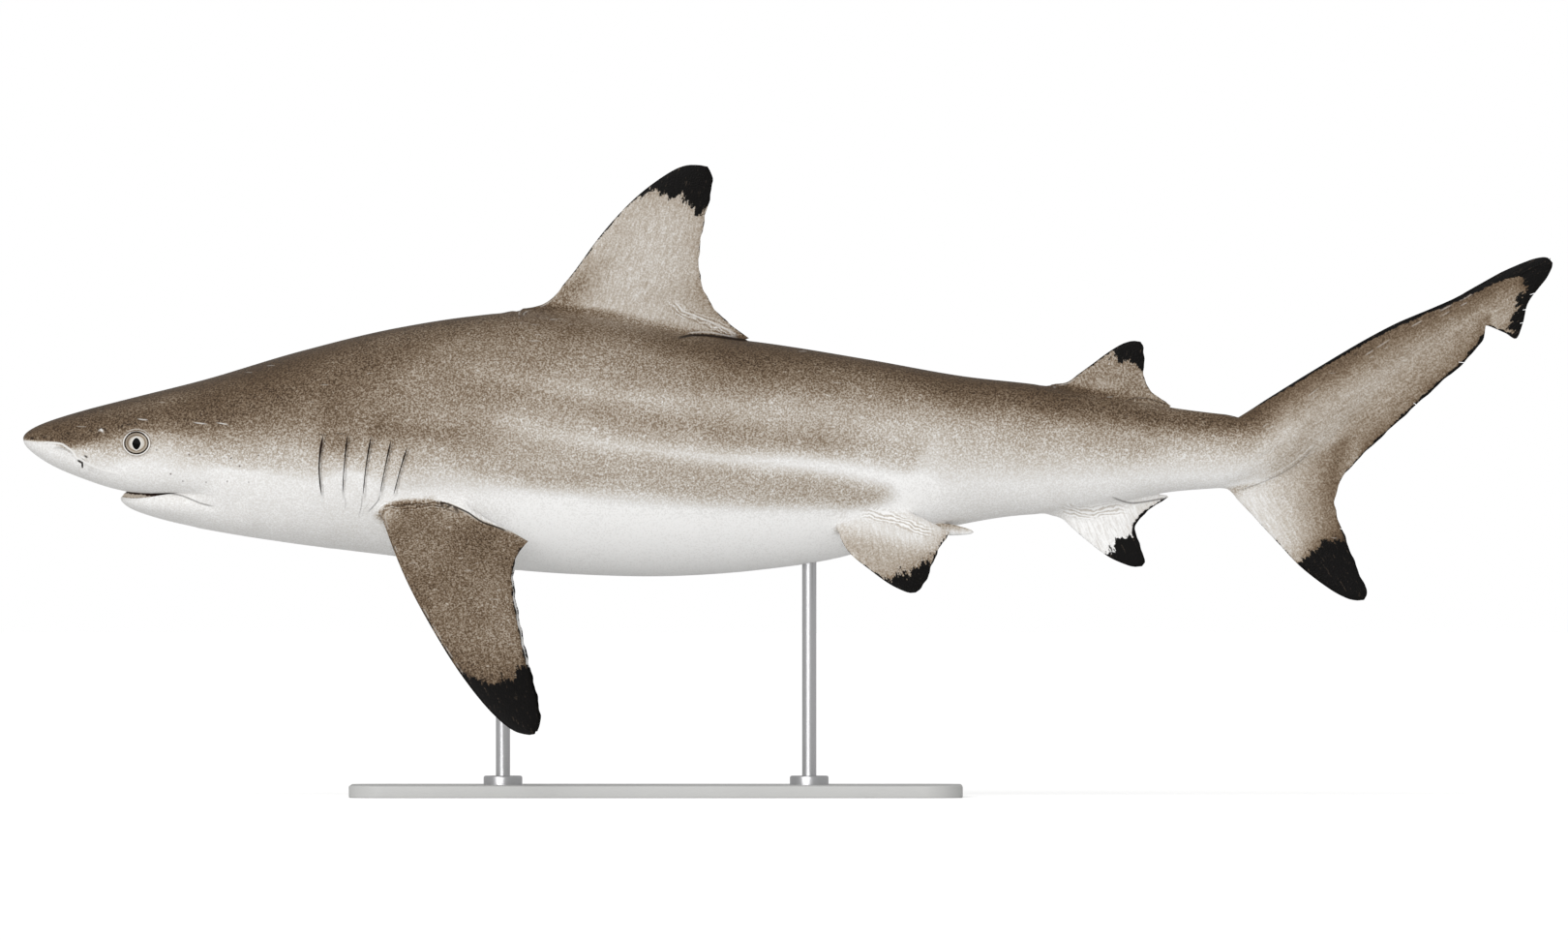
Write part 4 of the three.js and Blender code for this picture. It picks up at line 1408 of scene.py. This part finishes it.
def ease(value, low, high):
    """0 below low, 1 above high, and smooth between."""
    inputs = {"Value": value, "From Min": low, "From Max": high}
    if low > high:
        inputs.update({"From Min": high, "From Max": low, "To Min": 1.0, "To Max": 0.0})
    return add(value.tree, "MapRange", "Result", inputs, interpolation_type="SMOOTHSTEP")


def blend(share, a, b):
    """Colour a, with the share of it turned to colour b."""
    return add(share.tree, "Mix", 2, {0: share, 6: a, 7: b}, data_type="RGBA")


def ramp(at, bands):
    """The colours of the bands, blended between their places."""
    colours = add(at.tree, "ValToRGB", "Color", {"Fac": at})
    stops = colours.socket.node.color_ramp.elements
    while len(stops) < len(bands):
        stops.new(0.5)
    for stop, (place, colour) in zip(stops, bands):
        stop.position = place
        stop.color = (*colour, 1.0)
    return colours


def mark(tree, name, output="Fac"):
    return add(tree, "Attribute", output, attribute_name=name)


def noise(where, scale, detail=2.0, rough=0.5, **inputs):
    sockets = {"Vector": where, "Scale": scale, "Detail": detail, "Roughness": rough}
    return add(where.tree, "TexNoise", "Fac", {**sockets, **inputs})


def about_zero(value, reach):
    """A noise value moved to swing about zero, by reach."""
    return (value - 0.5) * reach


def stretched(where, scale):
    return add(where.tree, "Mapping", "Vector", {"Vector": where, "Scale": scale})


def part_of(where, axis):
    return add(where.tree, "SeparateXYZ", axis, {0: where})


def with_vector(operation, output, *vectors):
    return add(vectors[0].tree, "VectorMath", output, dict(enumerate(vectors)), operation=operation)


def in_millimetres(tree):
    return stretched(add(tree, "TexCoord", "Object"), (1000.0, 1000.0, 1000.0))


def new_material(name, **values):
    material = bpy.data.materials.new(name)
    material.use_nodes = True
    shader = material.node_tree.nodes["Principled BSDF"]
    for key, value in values.items():
        shader.inputs[key.replace("_", " ")].default_value = value
    return material, material.node_tree, shader


def bump_from(height, strength, distance, shader):
    """Drives the shader's normal with a height in the material."""
    inputs = {"Height": height, "Strength": strength, "Distance": distance}
    fill(shader, {"Normal": add(height.tree, "Bump", "Normal", inputs)})


def new_group(name, inputs, outputs):
    """An empty node group, the values it is given, and the node that they end in."""
    tree = bpy.data.node_groups.new(name, "ShaderNodeTree")
    for sockets, way in ((inputs, "INPUT"), (outputs, "OUTPUT")):
        for socket, kind in sockets.items():
            tree.interface.new_socket(socket, in_out=way, socket_type="NodeSocket" + kind)
    start = tree.nodes.new("NodeGroupInput")
    given = {socket: Value(start.outputs[socket]) for socket in inputs}
    return tree, given, tree.nodes.new("NodeGroupOutput")


def use_group(tree, group, inputs):
    node = tree.nodes.new("ShaderNodeGroup")
    node.node_tree = group
    fill(node, inputs)
    return {socket.name: Value(socket) for socket in node.outputs}


def maze_group():
    """A fine labyrinth, like worm tracks in the skin, from -1 to 1, and long light strokes."""
    tree, given, end = new_group(
        "skin_maze", {"Vector": "Vector", "Scale": "Float", "Sharpness": "Float"},
        {"Maze": "Float", "Strokes": "Float"},
    )
    where, scale = given["Vector"], given["Scale"]
    rise = (noise(where, scale, 0.6, 0.4, Distortion=0.5) - 0.5) * given["Sharpness"]
    shifted = add(tree, "Mapping", 0, {"Vector": where, "Location": (37.0, 11.0, 53.0)})
    off = abs(noise(shifted, scale * 0.5, 1.0, 0.4) - 0.5)
    stroke = (1.0 - off / 0.055).clamped()
    gaps = ease(noise(where, scale * 0.35), 0.52, 0.64)
    maze = calc("MINIMUM", calc("MAXIMUM", rise, -1.0), 1.0)
    fill(end, {"Maze": maze, "Strokes": stroke * gaps})
    return tree


def grain_group():
    """Fine even grain with a slow drift, for skin, paint and brushed metal."""
    tree, given, end = new_group(
        "fine_grain", {"Vector": "Vector", "Scale": "Float", "Drift Scale": "Float"},
        {"Grain": "Float", "Drift": "Float"},
    )
    fine = noise(given["Vector"], given["Scale"], 3.0, 0.6)
    fill(end, {"Grain": fine, "Drift": noise(given["Vector"], given["Drift Scale"])})
    return tree


MAZE = maze_group()
GRAIN = grain_group()


# ---- Materials ------------------------------------------------------------------

WHITE = (0.80, 0.795, 0.785, 1.0)
SKIN_TONES = [
    (0.00, (0.93, 0.925, 0.915)),
    (0.06, (0.80, 0.79, 0.775)),
    (0.13, (0.70, 0.675, 0.64)),
    (0.28, (0.525, 0.475, 0.415)),
    (0.45, (0.375, 0.315, 0.252)),
    (0.62, (0.240, 0.182, 0.128)),
    (0.80, (0.143, 0.097, 0.060)),
    (0.92, (0.091, 0.060, 0.036)),
    (1.00, (0.056, 0.037, 0.024)),
]
TIP_BLACK = (0.0035, 0.003, 0.0028, 1.0)
TIP_STREAK = (0.060, 0.044, 0.032, 1.0)
# Painted shade in creases and under the dorsal fin's free tip, and the dark of a few flecks.
CREASE_SHADE_AND_FLECK = (0.020, 0.013, 0.009, 1.0)
# Painted highlights on fold crests, and the white of a few scars.
FOLD_HIGHLIGHT_AND_SCAR = (0.86, 0.85, 0.83, 1.0)
MOUTH_TAN = (0.72, 0.63, 0.53, 1.0)
# Painted shade inside the openings, and the dark of the pores.
OPENING_SHADE_AND_PORE = (0.060, 0.036, 0.027, 1.0)
LID_PALE = (0.62, 0.59, 0.55, 1.0)
LID_WHITE = (0.86, 0.84, 0.81, 1.0)
# Painted shade round the outside of the raised lid.
LID_RIM_SHADE = (0.20, 0.15, 0.11, 1.0)
# Painted shadow in the gap between the lid and the eyeball.
LID_GAP_SHADOW = (0.030, 0.022, 0.017, 1.0)
# The rings round the eye: where each starts, is full, fades and ends, as distances from
# the eye's middle, its strength and colour, and the mark that it keeps to.
LID_RINGS = [
    # Painted shade outside the raised lid.
    (13.2, 13.6, 13.9, 14.6, 0.5, LID_RIM_SHADE, None),
    (14.7, 15.1, 15.6, 16.1, 0.75, LID_PALE, "brow_ring"),
    (12.1, 12.4, 13.2, 13.6, 0.9, LID_WHITE, None),
]
WRINKLE_PITCH = 3.3
SCALLOP_PITCH = 4.2


def mottle(place, tone, fin):
    """The hide's pattern: how it changes the tone, how strongly, its maze and its flecks."""
    tree = place.tree
    maze = use_group(tree, MAZE, {"Vector": place, "Scale": 0.60, "Sharpness": 6.5})
    grain = use_group(tree, GRAIN, {"Vector": place, "Scale": 1.1, "Drift Scale": 0.022})
    # It shows most on the brown, stipples the edge of the white, and is calmer on pale fins.
    strong = ease(tone, 0.36, 0.55) * ease(tone, 0.95, 0.78)
    contrast = ease(tone, 0.05, 0.35) * 0.115 + 0.035 + strong * 0.03
    contrast = contrast * (1.0 - ease(tone, 0.8, 0.92) * 0.4)
    calm = calc("MAXIMUM", mark(tree, "caudal"), fin * ease(tone, 0.62, 0.45))
    contrast = contrast * (1.0 - calm * 0.4)
    fleck = about_zero(grain["Grain"], 1.6)
    change = maze["Maze"] + fleck - maze["Strokes"] * 1.3 + about_zero(grain["Drift"], 1.3)
    return change, contrast, maze["Maze"], fleck


def wrinkle_wave(place):
    """Fine folds side by side, from -1 to 1."""
    sway = about_zero(noise(place, 0.09), 9.0)
    turn = (mark(place.tree, "wrinkle") + sway) * (2.0 * math.pi / WRINKLE_PITCH)
    return calc("SINE", turn) * mark(place.tree, "wrinkle_share")


def black_share(place, rays):
    """The ragged black tips, and the thin black rims."""
    broad = about_zero(noise(stretched(rays, (0.11, 0.05, 1.0)), 1.0, 1.0), 26.0)
    jag = about_zero(noise(stretched(rays, (0.42, 0.13, 1.0)), 1.0), 17.0)
    fine = about_zero(noise(place, 0.55, 1.0), 9.0)
    tip = ease(mark(place.tree, "tip") + (broad + jag + fine), -1.3, 1.3)
    worn = about_zero(noise(place, 0.13), 4.5) + fine * 0.35
    rim = ease(mark(place.tree, "rim") + worn, -0.5, 0.7)
    return calc("MAXIMUM", tip, rim)


def line_on(tree, name):
    """A drawn line from its two marks: full on the line, and its strength."""
    return ease(abs(mark(tree, name)), 1.5, 0.4) * mark(tree, name + "_share")


def in_side_view(place):
    """The skin's place flattened to the side view, alike on both sides."""
    flat = {0: part_of(place, "X"), 1: part_of(place, "Z"), 2: 0.0}
    return add(place.tree, "CombineXYZ", "Vector", flat)


def edge_line(place):
    """A broken pale line just behind the dark front edges of the fins."""
    line_share = (1.0 - abs(mark(place.tree, "lead") - 2.4)).clamped()
    return line_share * ease(noise(place, 0.06, 1.0), 0.5, 0.62)


def lateral_dashes(place, fin):
    """The lateral line, a row of pale dashes."""
    on_line = (1.0 - abs(mark(place.tree, "lateral")) / 1.1).clamped()
    dashes = ease(noise(stretched(place, (0.3, 0.05, 0.05)), 1.0, 1.0), 0.5, 0.58)
    return on_line * dashes * 0.35 * (1.0 - fin)


def scratch_share(flat, tone):
    """Short white scratches on the brown."""
    scratch = ease(noise(stretched(flat, (0.05, 0.42, 1.0)), 1.0, 1.0, 0.4), 0.75, 0.78)
    return scratch * ease(tone, 0.25, 0.5)


def pore_share(flat):
    """A few dark pores."""
    sockets = {"Vector": flat, "Scale": 0.05}
    spots = add(flat.tree, "TexVoronoi", "Distance", sockets, voronoi_dimensions="2D")
    return ease(spots, 0.052, 0.036) * mark(flat.tree, "pore")


def with_lids(tree, colour):
    """Rings round the eye: painted shade outside the raised lid, a white and a pale ring, and a painted
    shadow line in the gap against the eyeball.
    """
    ring = mark(tree, "eye_ring")
    for start, full, fade, end, strength, shade, only in LID_RINGS:
        share = ease(ring, start, full) * ease(ring, end, fade)
        if only:
            share = share * mark(tree, only)
        colour = blend(share * strength, colour, shade)
    # Painted shadow in the gap against the eyeball.
    return blend(ease(ring, 12.3, 12.0), colour, LID_GAP_SHADOW)


def with_mouth(place, colour):
    """Painted shade inside every gill slit and nostril and in the mouth, and pale gum over the scallops of
    the teeth.
    """
    tree = place.tree
    # Painted shade deep in the gill slits and nostrils, and in the mouth under the upper lip.
    colour = blend(ease(mark(tree, "inside"), 0.7, 2.0), colour, OPENING_SHADE_AND_PORE)
    colour = blend(ease(mark(tree, "mouth"), 0.3, 0.8), colour, OPENING_SHADE_AND_PORE)
    scallop = abs(calc("SINE", part_of(place, "X") * (math.pi / SCALLOP_PITCH)))
    return blend(ease(mark(tree, "gum") - scallop * 0.35, 0.1, 0.5), colour, MOUTH_TAN)


def skin_material():
    material, tree, shader = new_material("shark_hide", IOR=1.40, Specular_IOR_Level=0.12)
    place = in_millimetres(tree)
    flat = in_side_view(place)
    tone, fin, rays = mark(tree, "tone"), mark(tree, "fin"), mark(tree, "rays", "Vector")
    change, contrast, maze, fleck = mottle(place, tone, fin)
    streak = noise(stretched(rays, (0.45, 0.06, 1.0)), 1.0, 3.0, 0.65)
    streaks = about_zero(streak, 0.42) * fin
    wave = wrinkle_wave(place)
    # The fine folds' wave also lightens and darkens the colour: painted light and shade across the folds.
    colour = ramp(tone + change * contrast + streaks + wave * 0.17, SKIN_TONES)
    colour = blend(edge_line(place) * 0.5, colour, LID_PALE)
    colour = blend(lateral_dashes(place, fin), colour, WHITE)
    colour = blend(scratch_share(flat, tone) * 0.35, colour, LID_PALE)
    colour = blend(pore_share(flat) * 0.75, colour, OPENING_SHADE_AND_PORE)
    inky = ease(streak, 0.56, 0.72) * ease(maze, 0.1, -0.5)
    colour = blend(black_share(place, rays), colour, blend(inky, TIP_BLACK, TIP_STREAK))
    # Painted highlights on fold crests and painted shade in creases and under the free fin tip, besides a
    # few real scars and flecks.
    crease, fold_highlight_and_scar = line_on(tree, "crease"), line_on(tree, "pale") * -1.0
    colour = blend(fold_highlight_and_scar, colour, FOLD_HIGHLIGHT_AND_SCAR)
    colour = blend(crease, colour, CREASE_SHADE_AND_FLECK)
    colour = with_mouth(place, with_lids(tree, colour))
    fill(shader, {"Base Color": colour, "Roughness": fleck * 0.06 + 0.46})
    height = change * (contrast * -2.2) + streaks * 0.8 + wave * -0.5 + (fold_highlight_and_scar - crease * 1.6)
    bump_from(height, 0.6, 0.0005, shader)
    return material


# The iris from the pupil out; the last two bands are a painted shadow round the rim of the eyeball, in the
# gap under the lid.
IRIS_BANDS_AND_RIM_SHADOW = [
    (0.42, (0.68, 0.65, 0.60)), (0.585, (0.60, 0.555, 0.49)), (0.635, (0.30, 0.235, 0.17)),
    (0.70, (0.25, 0.19, 0.135)), (0.745, (0.52, 0.46, 0.385)), (0.81, (0.50, 0.44, 0.365)),
    (0.85, (0.10, 0.072, 0.052)), (0.88, (0.022, 0.016, 0.012)),
]
# Painted shade from the lid over the iris's upper front.
IRIS_LID_SHADE = (0.10, 0.072, 0.05, 1.0)
IRIS_PALE = (0.78, 0.76, 0.72, 1.0)
PUPIL_BLACK = (0.003, 0.003, 0.003, 1.0)
PUPIL = {"half_wide": 4.2, "half_tall": 5.8}
IRIS = {"radius": 13.0, "above_pupil": 0.7, "flatter": 1.12}


def eye_material():
    """Rings of tan round a black pupil shaped like an almond on end, with painted shade from the lid at the
    upper front and a painted shadow round the rim.
    """
    material, tree, shader = new_material(
        "shark_eye", Roughness=0.3, IOR=1.4, Specular_IOR_Level=0.03, Coat_Weight=0.04,
        Coat_Roughness=0.05,
    )
    spot = mark(tree, "eye_place", "Vector")
    raised = with_vector("ADD", "Vector", spot, (0.0, -IRIS["above_pupil"], 0.0))
    rounded = stretched(raised, (1.0, IRIS["flatter"], 1.0))
    spokes = with_vector("NORMALIZE", "Vector", rounded)
    rays = noise(stretched(spokes, (9.0, 9.0, 9.0)), 1.0, 3.0, 0.6)
    at = (with_vector("LENGTH", "Value", rounded) + about_zero(rays, 0.8)) / IRIS["radius"]
    wide = (abs(part_of(spot, "X")) / PUPIL["half_wide"]) ** 1.75
    tall = (abs(part_of(spot, "Y")) / PUPIL["half_tall"]) ** 1.6
    almond = wide + tall
    # The iris darkens towards its upper front: painted shade from the lid.
    front_top = with_vector("DOT_PRODUCT", "Value", spokes, (-0.75, 0.66, 0.0))
    shade = ease(front_top, -0.1, 0.9) * ease(at, 0.5, 0.58)
    iris = blend(shade * 0.45, ramp(at, IRIS_BANDS_AND_RIM_SHADOW), IRIS_LID_SHADE)
    iris = blend(ease(almond, 1.45, 1.2), iris, IRIS_PALE)
    fill(shader, {"Base Color": blend(ease(almond, 1.08, 0.94), iris, PUPIL_BLACK)})
    return material


def grainy(shader, place, scales, over, dark, light):
    """Blends two colours by the grain's output named over, and gives the grain back."""
    sockets = {"Vector": place, "Scale": scales[0], "Drift Scale": scales[1]}
    grain = use_group(place.tree, GRAIN, sockets)
    fill(shader, {"Base Color": blend(grain[over], (*dark, 1.0), (*light, 1.0))})
    return grain["Grain"]


def tooth_material():
    material, tree, shader = new_material("tooth_enamel", Roughness=0.25, Coat_Weight=0.4)
    grainy(shader, in_millimetres(tree), (1.2, 0.2), "Drift", (0.50, 0.42, 0.33), (0.62, 0.54, 0.44))
    return material


def paint_material():
    """Satin powder coat with fine orange peel."""
    material, tree, shader = new_material("stand_powder_coat", IOR=1.5)
    place = in_millimetres(tree)
    grain = grainy(shader, place, (0.7, 0.01), "Drift", (0.50, 0.50, 0.49), (0.56, 0.56, 0.55))
    fill(shader, {"Roughness": grain * 0.16 + 0.38})
    bump_from(grain, 0.25, 0.0003, shader)
    return material


def steel_material():
    """Stainless steel with fine scratches round the bars."""
    material, tree, shader = new_material("stand_brushed_steel", Metallic=1.0)
    place = stretched(in_millimetres(tree), (0.25, 0.25, 6.0))
    grain = grainy(shader, place, (1.0, 0.05), "Grain", (0.50, 0.50, 0.51), (0.66, 0.66, 0.67))
    fill(shader, {"Roughness": grain * 0.2 + 0.22})
    bump_from(grain, 0.2, 0.0001, shader)
    return material


# ---- Eyes and teeth ---------------------------------------------------------------

# The small cusps along the rim of the lower jaw, in millimetres: how many on each side of
# the front one, how far apart, the radii of the root and the point, how far inside the
# rim and below it they stand, their share of the gap, and how far they lean.
TEETH = {
    "each_side": 9, "pitch": 4.0, "root": 1.7, "point": 0.3, "inside_rim": 1.6, "sunk": 1.2,
    "share": 0.28, "lean_back": 0.7, "lean_in": 0.5,
}


def make_eye(name, side, material):
    eye = eye_shape(f"eyeball_{name}", side, 64, 40)
    points = mesh_points(eye.data)
    spot = np.zeros_like(points)
    spot[:, 0] = points[:, 0] - EYE["s"]
    spot[:, 1] = points[:, 2] - EYE["h"]
    store(eye.data, "eye_place", spot)
    dress(eye, material)
    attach(to_place(eye), "root")
    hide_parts(f"eye_{name}")


def make_teeth(material):
    """Small narrow cusps along the rim of the lower jaw, each leaning a little inwards."""
    bm = bmesh.new()
    sunk = TEETH["sunk"]
    for i in range(-TEETH["each_side"], TEETH["each_side"] + 1):
        y = i * TEETH["pitch"]
        s = MOUTH["front"]
        while float(JAW["half"](np.array(s))) < abs(y) + TEETH["inside_rim"]:
            s += 0.2
        s += TEETH["inside_rim"]
        gap = float(mouth_gap(np.array(s)))
        rim = float(underside(np.array(s), np.array(y))) - gap
        height = TEETH["share"] * gap + sunk
        made = bmesh.ops.create_cone(
            bm, cap_ends=True, segments=8, radius1=TEETH["root"], radius2=TEETH["point"],
            depth=height, matrix=Matrix.Translation((s, y, rim - sunk + height / 2)),
        )
        for vert in made["verts"]:
            up = (vert.co.z - rim + sunk) / height
            vert.co.x += TEETH["lean_back"] * up * up
            vert.co.y -= TEETH["lean_in"] * up * up * np.sign(y)
    teeth = turned_out(bm, "teeth")
    dress(teeth, material)
    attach(to_place(teeth), "root")


# ---- The stand ----------------------------------------------------------------------

# In millimetres: the plate's round corners and softened edge, the chamfer under the bars
# and how far their tops reach into the body, and the rounded top of the rings.
STAND = {"corner": 36.0, "edge": 1.5, "chamfer": 0.6, "into_body": 4.0, "ring_round": 2.0}


def make_base(material):
    """A plate with round corners and a softened edge."""
    low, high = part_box("stand_base")
    size, middle = high - low, (low + high) / 2
    bm = bmesh.new()
    bmesh.ops.create_cube(bm, size=1.0, matrix=Matrix.Translation(middle) @ Matrix.Diagonal((*size, 1.0)))
    for upright, offset, steps in ((True, STAND["corner"], 20), (False, STAND["edge"], 4)):
        edges = [
            e for e in bm.edges
            if (abs(e.verts[0].co.z - e.verts[1].co.z) > size.z / 2) == upright
        ]
        bmesh.ops.bevel(
            bm, geom=edges, offset=offset * MM, segments=steps, profile=0.5, affect="EDGES",
            material=-1,
        )
    base = turned_out(bm, "stand_base_plate")
    dress(base, material, 35)
    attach(base, "root")
    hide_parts("stand_base")


def turned(name, profile, middle, material, node):
    """A piece turned on a lathe: profile is its [radius, height] points, from axis to axis."""
    bm = bmesh.new()
    verts = [bm.verts.new((r, 0.0, z)) for r, z in profile]
    edges = [bm.edges.new(pair) for pair in zip(verts[:-1], verts[1:])]
    bmesh.ops.spin(
        bm, geom=verts + edges, cent=(0, 0, 0), axis=(0, 0, 1), angle=2 * math.pi, steps=48,
        use_merge=True,
    )
    bmesh.ops.remove_doubles(bm, verts=bm.verts, dist=1e-6)
    bmesh.ops.translate(bm, verts=bm.verts, vec=middle)
    piece = turned_out(bm, name)
    dress(piece, material, 40)
    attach(piece, "root")
    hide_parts(node)


def make_stand(steel, paint_coat):
    make_base(paint_coat)
    plate_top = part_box("stand_base")[1].z
    chamfer, step = STAND["chamfer"] * MM, STAND["ring_round"] * MM
    for name in ("front", "rear"):
        low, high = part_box(f"stand_rod_{name}")
        middle = ((low.x + high.x) / 2, (low.y + high.y) / 2, 0.0)
        radius, top = (high.x - low.x) / 2, high.z + STAND["into_body"] * MM
        bar = [(0, low.z), (radius - chamfer, low.z), (radius, low.z + chamfer), (radius, top), (0, top)]
        turned(f"stand_bar_{name}", bar, middle, steel, f"stand_rod_{name}")
        low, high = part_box(f"stand_collar_{name}")
        outer = (high.x - low.x) / 2
        curve = [
            (outer - step * (1 - math.cos(a)), high.z - step * (1 - math.sin(a)))
            for a in np.linspace(0.0, math.pi / 2, 7)
        ]
        ring = [(radius, plate_top), (outer, plate_top), *curve, (radius, high.z), (radius, plate_top)]
        turned(f"stand_ring_{name}", ring, middle, steel, f"stand_collar_{name}")


# ---- The room: floor, light and camera ------------------------------------------------

PURE_WHITE = (1.0, 1.0, 1.0, 1.0)
FLOOR = {"radius": 40.0, "glow": 0.42}
# How bright the sky is to look at and as a light, and the lamp's strength, its width in
# degrees and the way that it shines.
SKY = {"seen": 1.0, "cast": 0.48}
LAMP = {"energy": 1.75, "width": 50, "toward": (0.30, 0.85, -0.36)}
# In millimetres: the width of the view, and where the camera looks, ahead of the shark's
# middle and below its axis. In metres: how far off it stands, and how far it sees.
CAMERA = {"width": 1536.0, "ahead": 4.7, "below": 19.7, "away": 40.0, "clip_end": 400.0}
SENSOR_WIDTH = 36.0


def put_in_scene(name, data):
    thing = bpy.data.objects.new(name, data)
    bpy.context.scene.collection.objects.link(thing)
    return thing


def make_floor():
    bm = bmesh.new()
    bmesh.ops.create_circle(bm, cap_ends=True, segments=96, radius=FLOOR["radius"])
    floor = object_of(bm, "floor")
    material, tree, shader = new_material("floor_paper", Roughness=0.9, Specular_IOR_Level=0.1)
    grainy(shader, in_millimetres(tree), (0.2, 0.001), "Drift", (0.93, 0.93, 0.925), (0.95, 0.95, 0.945))
    glow = add(tree, "LightPath", "Is Camera Ray") * FLOOR["glow"]
    fill(shader, {"Emission Color": PURE_WHITE, "Emission Strength": glow})
    floor.data.materials.append(material)


def make_light():
    """White all round, and one wide soft lamp low in front and a little to the left."""
    world = bpy.data.worlds.new("studio")
    bpy.context.scene.world = world
    world.use_nodes = True
    tree = world.node_tree
    tree.nodes.clear()
    seen, cast = (
        add(tree, "Background", 0, {"Color": PURE_WHITE, "Strength": SKY[use]})
        for use in ("seen", "cast")
    )
    by_ray = {0: add(tree, "LightPath", "Is Camera Ray"), 1: cast, 2: seen}
    fill(tree.nodes.new("ShaderNodeOutputWorld"), {"Surface": add(tree, "MixShader", 0, by_ray)})
    lamp = bpy.data.lights.new("softbox", "SUN")
    lamp.energy = LAMP["energy"]
    lamp.angle = math.radians(LAMP["width"])
    softbox = put_in_scene("softbox", lamp)
    softbox.rotation_euler = Vector(LAMP["toward"]).to_track_quat("-Z", "Y").to_euler()


def make_camera():
    """Level, square to the left side, far off with a long lens."""
    data = bpy.data.cameras.new("camera")
    data.sensor_width = SENSOR_WIDTH
    data.lens = SENSOR_WIDTH * CAMERA["away"] / (CAMERA["width"] * MM)
    data.clip_end = CAMERA["clip_end"]
    camera = put_in_scene("camera", data)
    middle = (SNOUT + TAIL) / 2
    camera.location = (middle - CAMERA["ahead"] * MM, -CAMERA["away"], AXIS - CAMERA["below"] * MM)
    camera.rotation_euler = (math.pi / 2, 0.0, 0.0)
    bpy.context.scene.camera = camera
    bpy.context.scene.view_settings.view_transform = "Standard"


FLESH = (
    "head", "lower_jaw", "gill_region", "trunk", "tail_stalk", "first_dorsal_fin",
    "second_dorsal_fin", "anal_fin", "pectoral_fin_left", "pectoral_fin_right",
    "pelvic_fin_left", "pelvic_fin_right", "clasper_left", "clasper_right",
    "caudal_upper_lobe", "caudal_lower_lobe",
)

make_camera()
make_light()
make_floor()
skin, body_tree = make_skin()
finish_skin(skin, body_tree)
dress(skin, skin_material(), 48)
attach(skin, "root")
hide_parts(*FLESH)
eye_coat = eye_material()
for side_name, side in SIDES.items():
    make_eye(side_name, side, eye_coat)
make_teeth(tooth_material())
make_stand(steel_material(), paint_material())
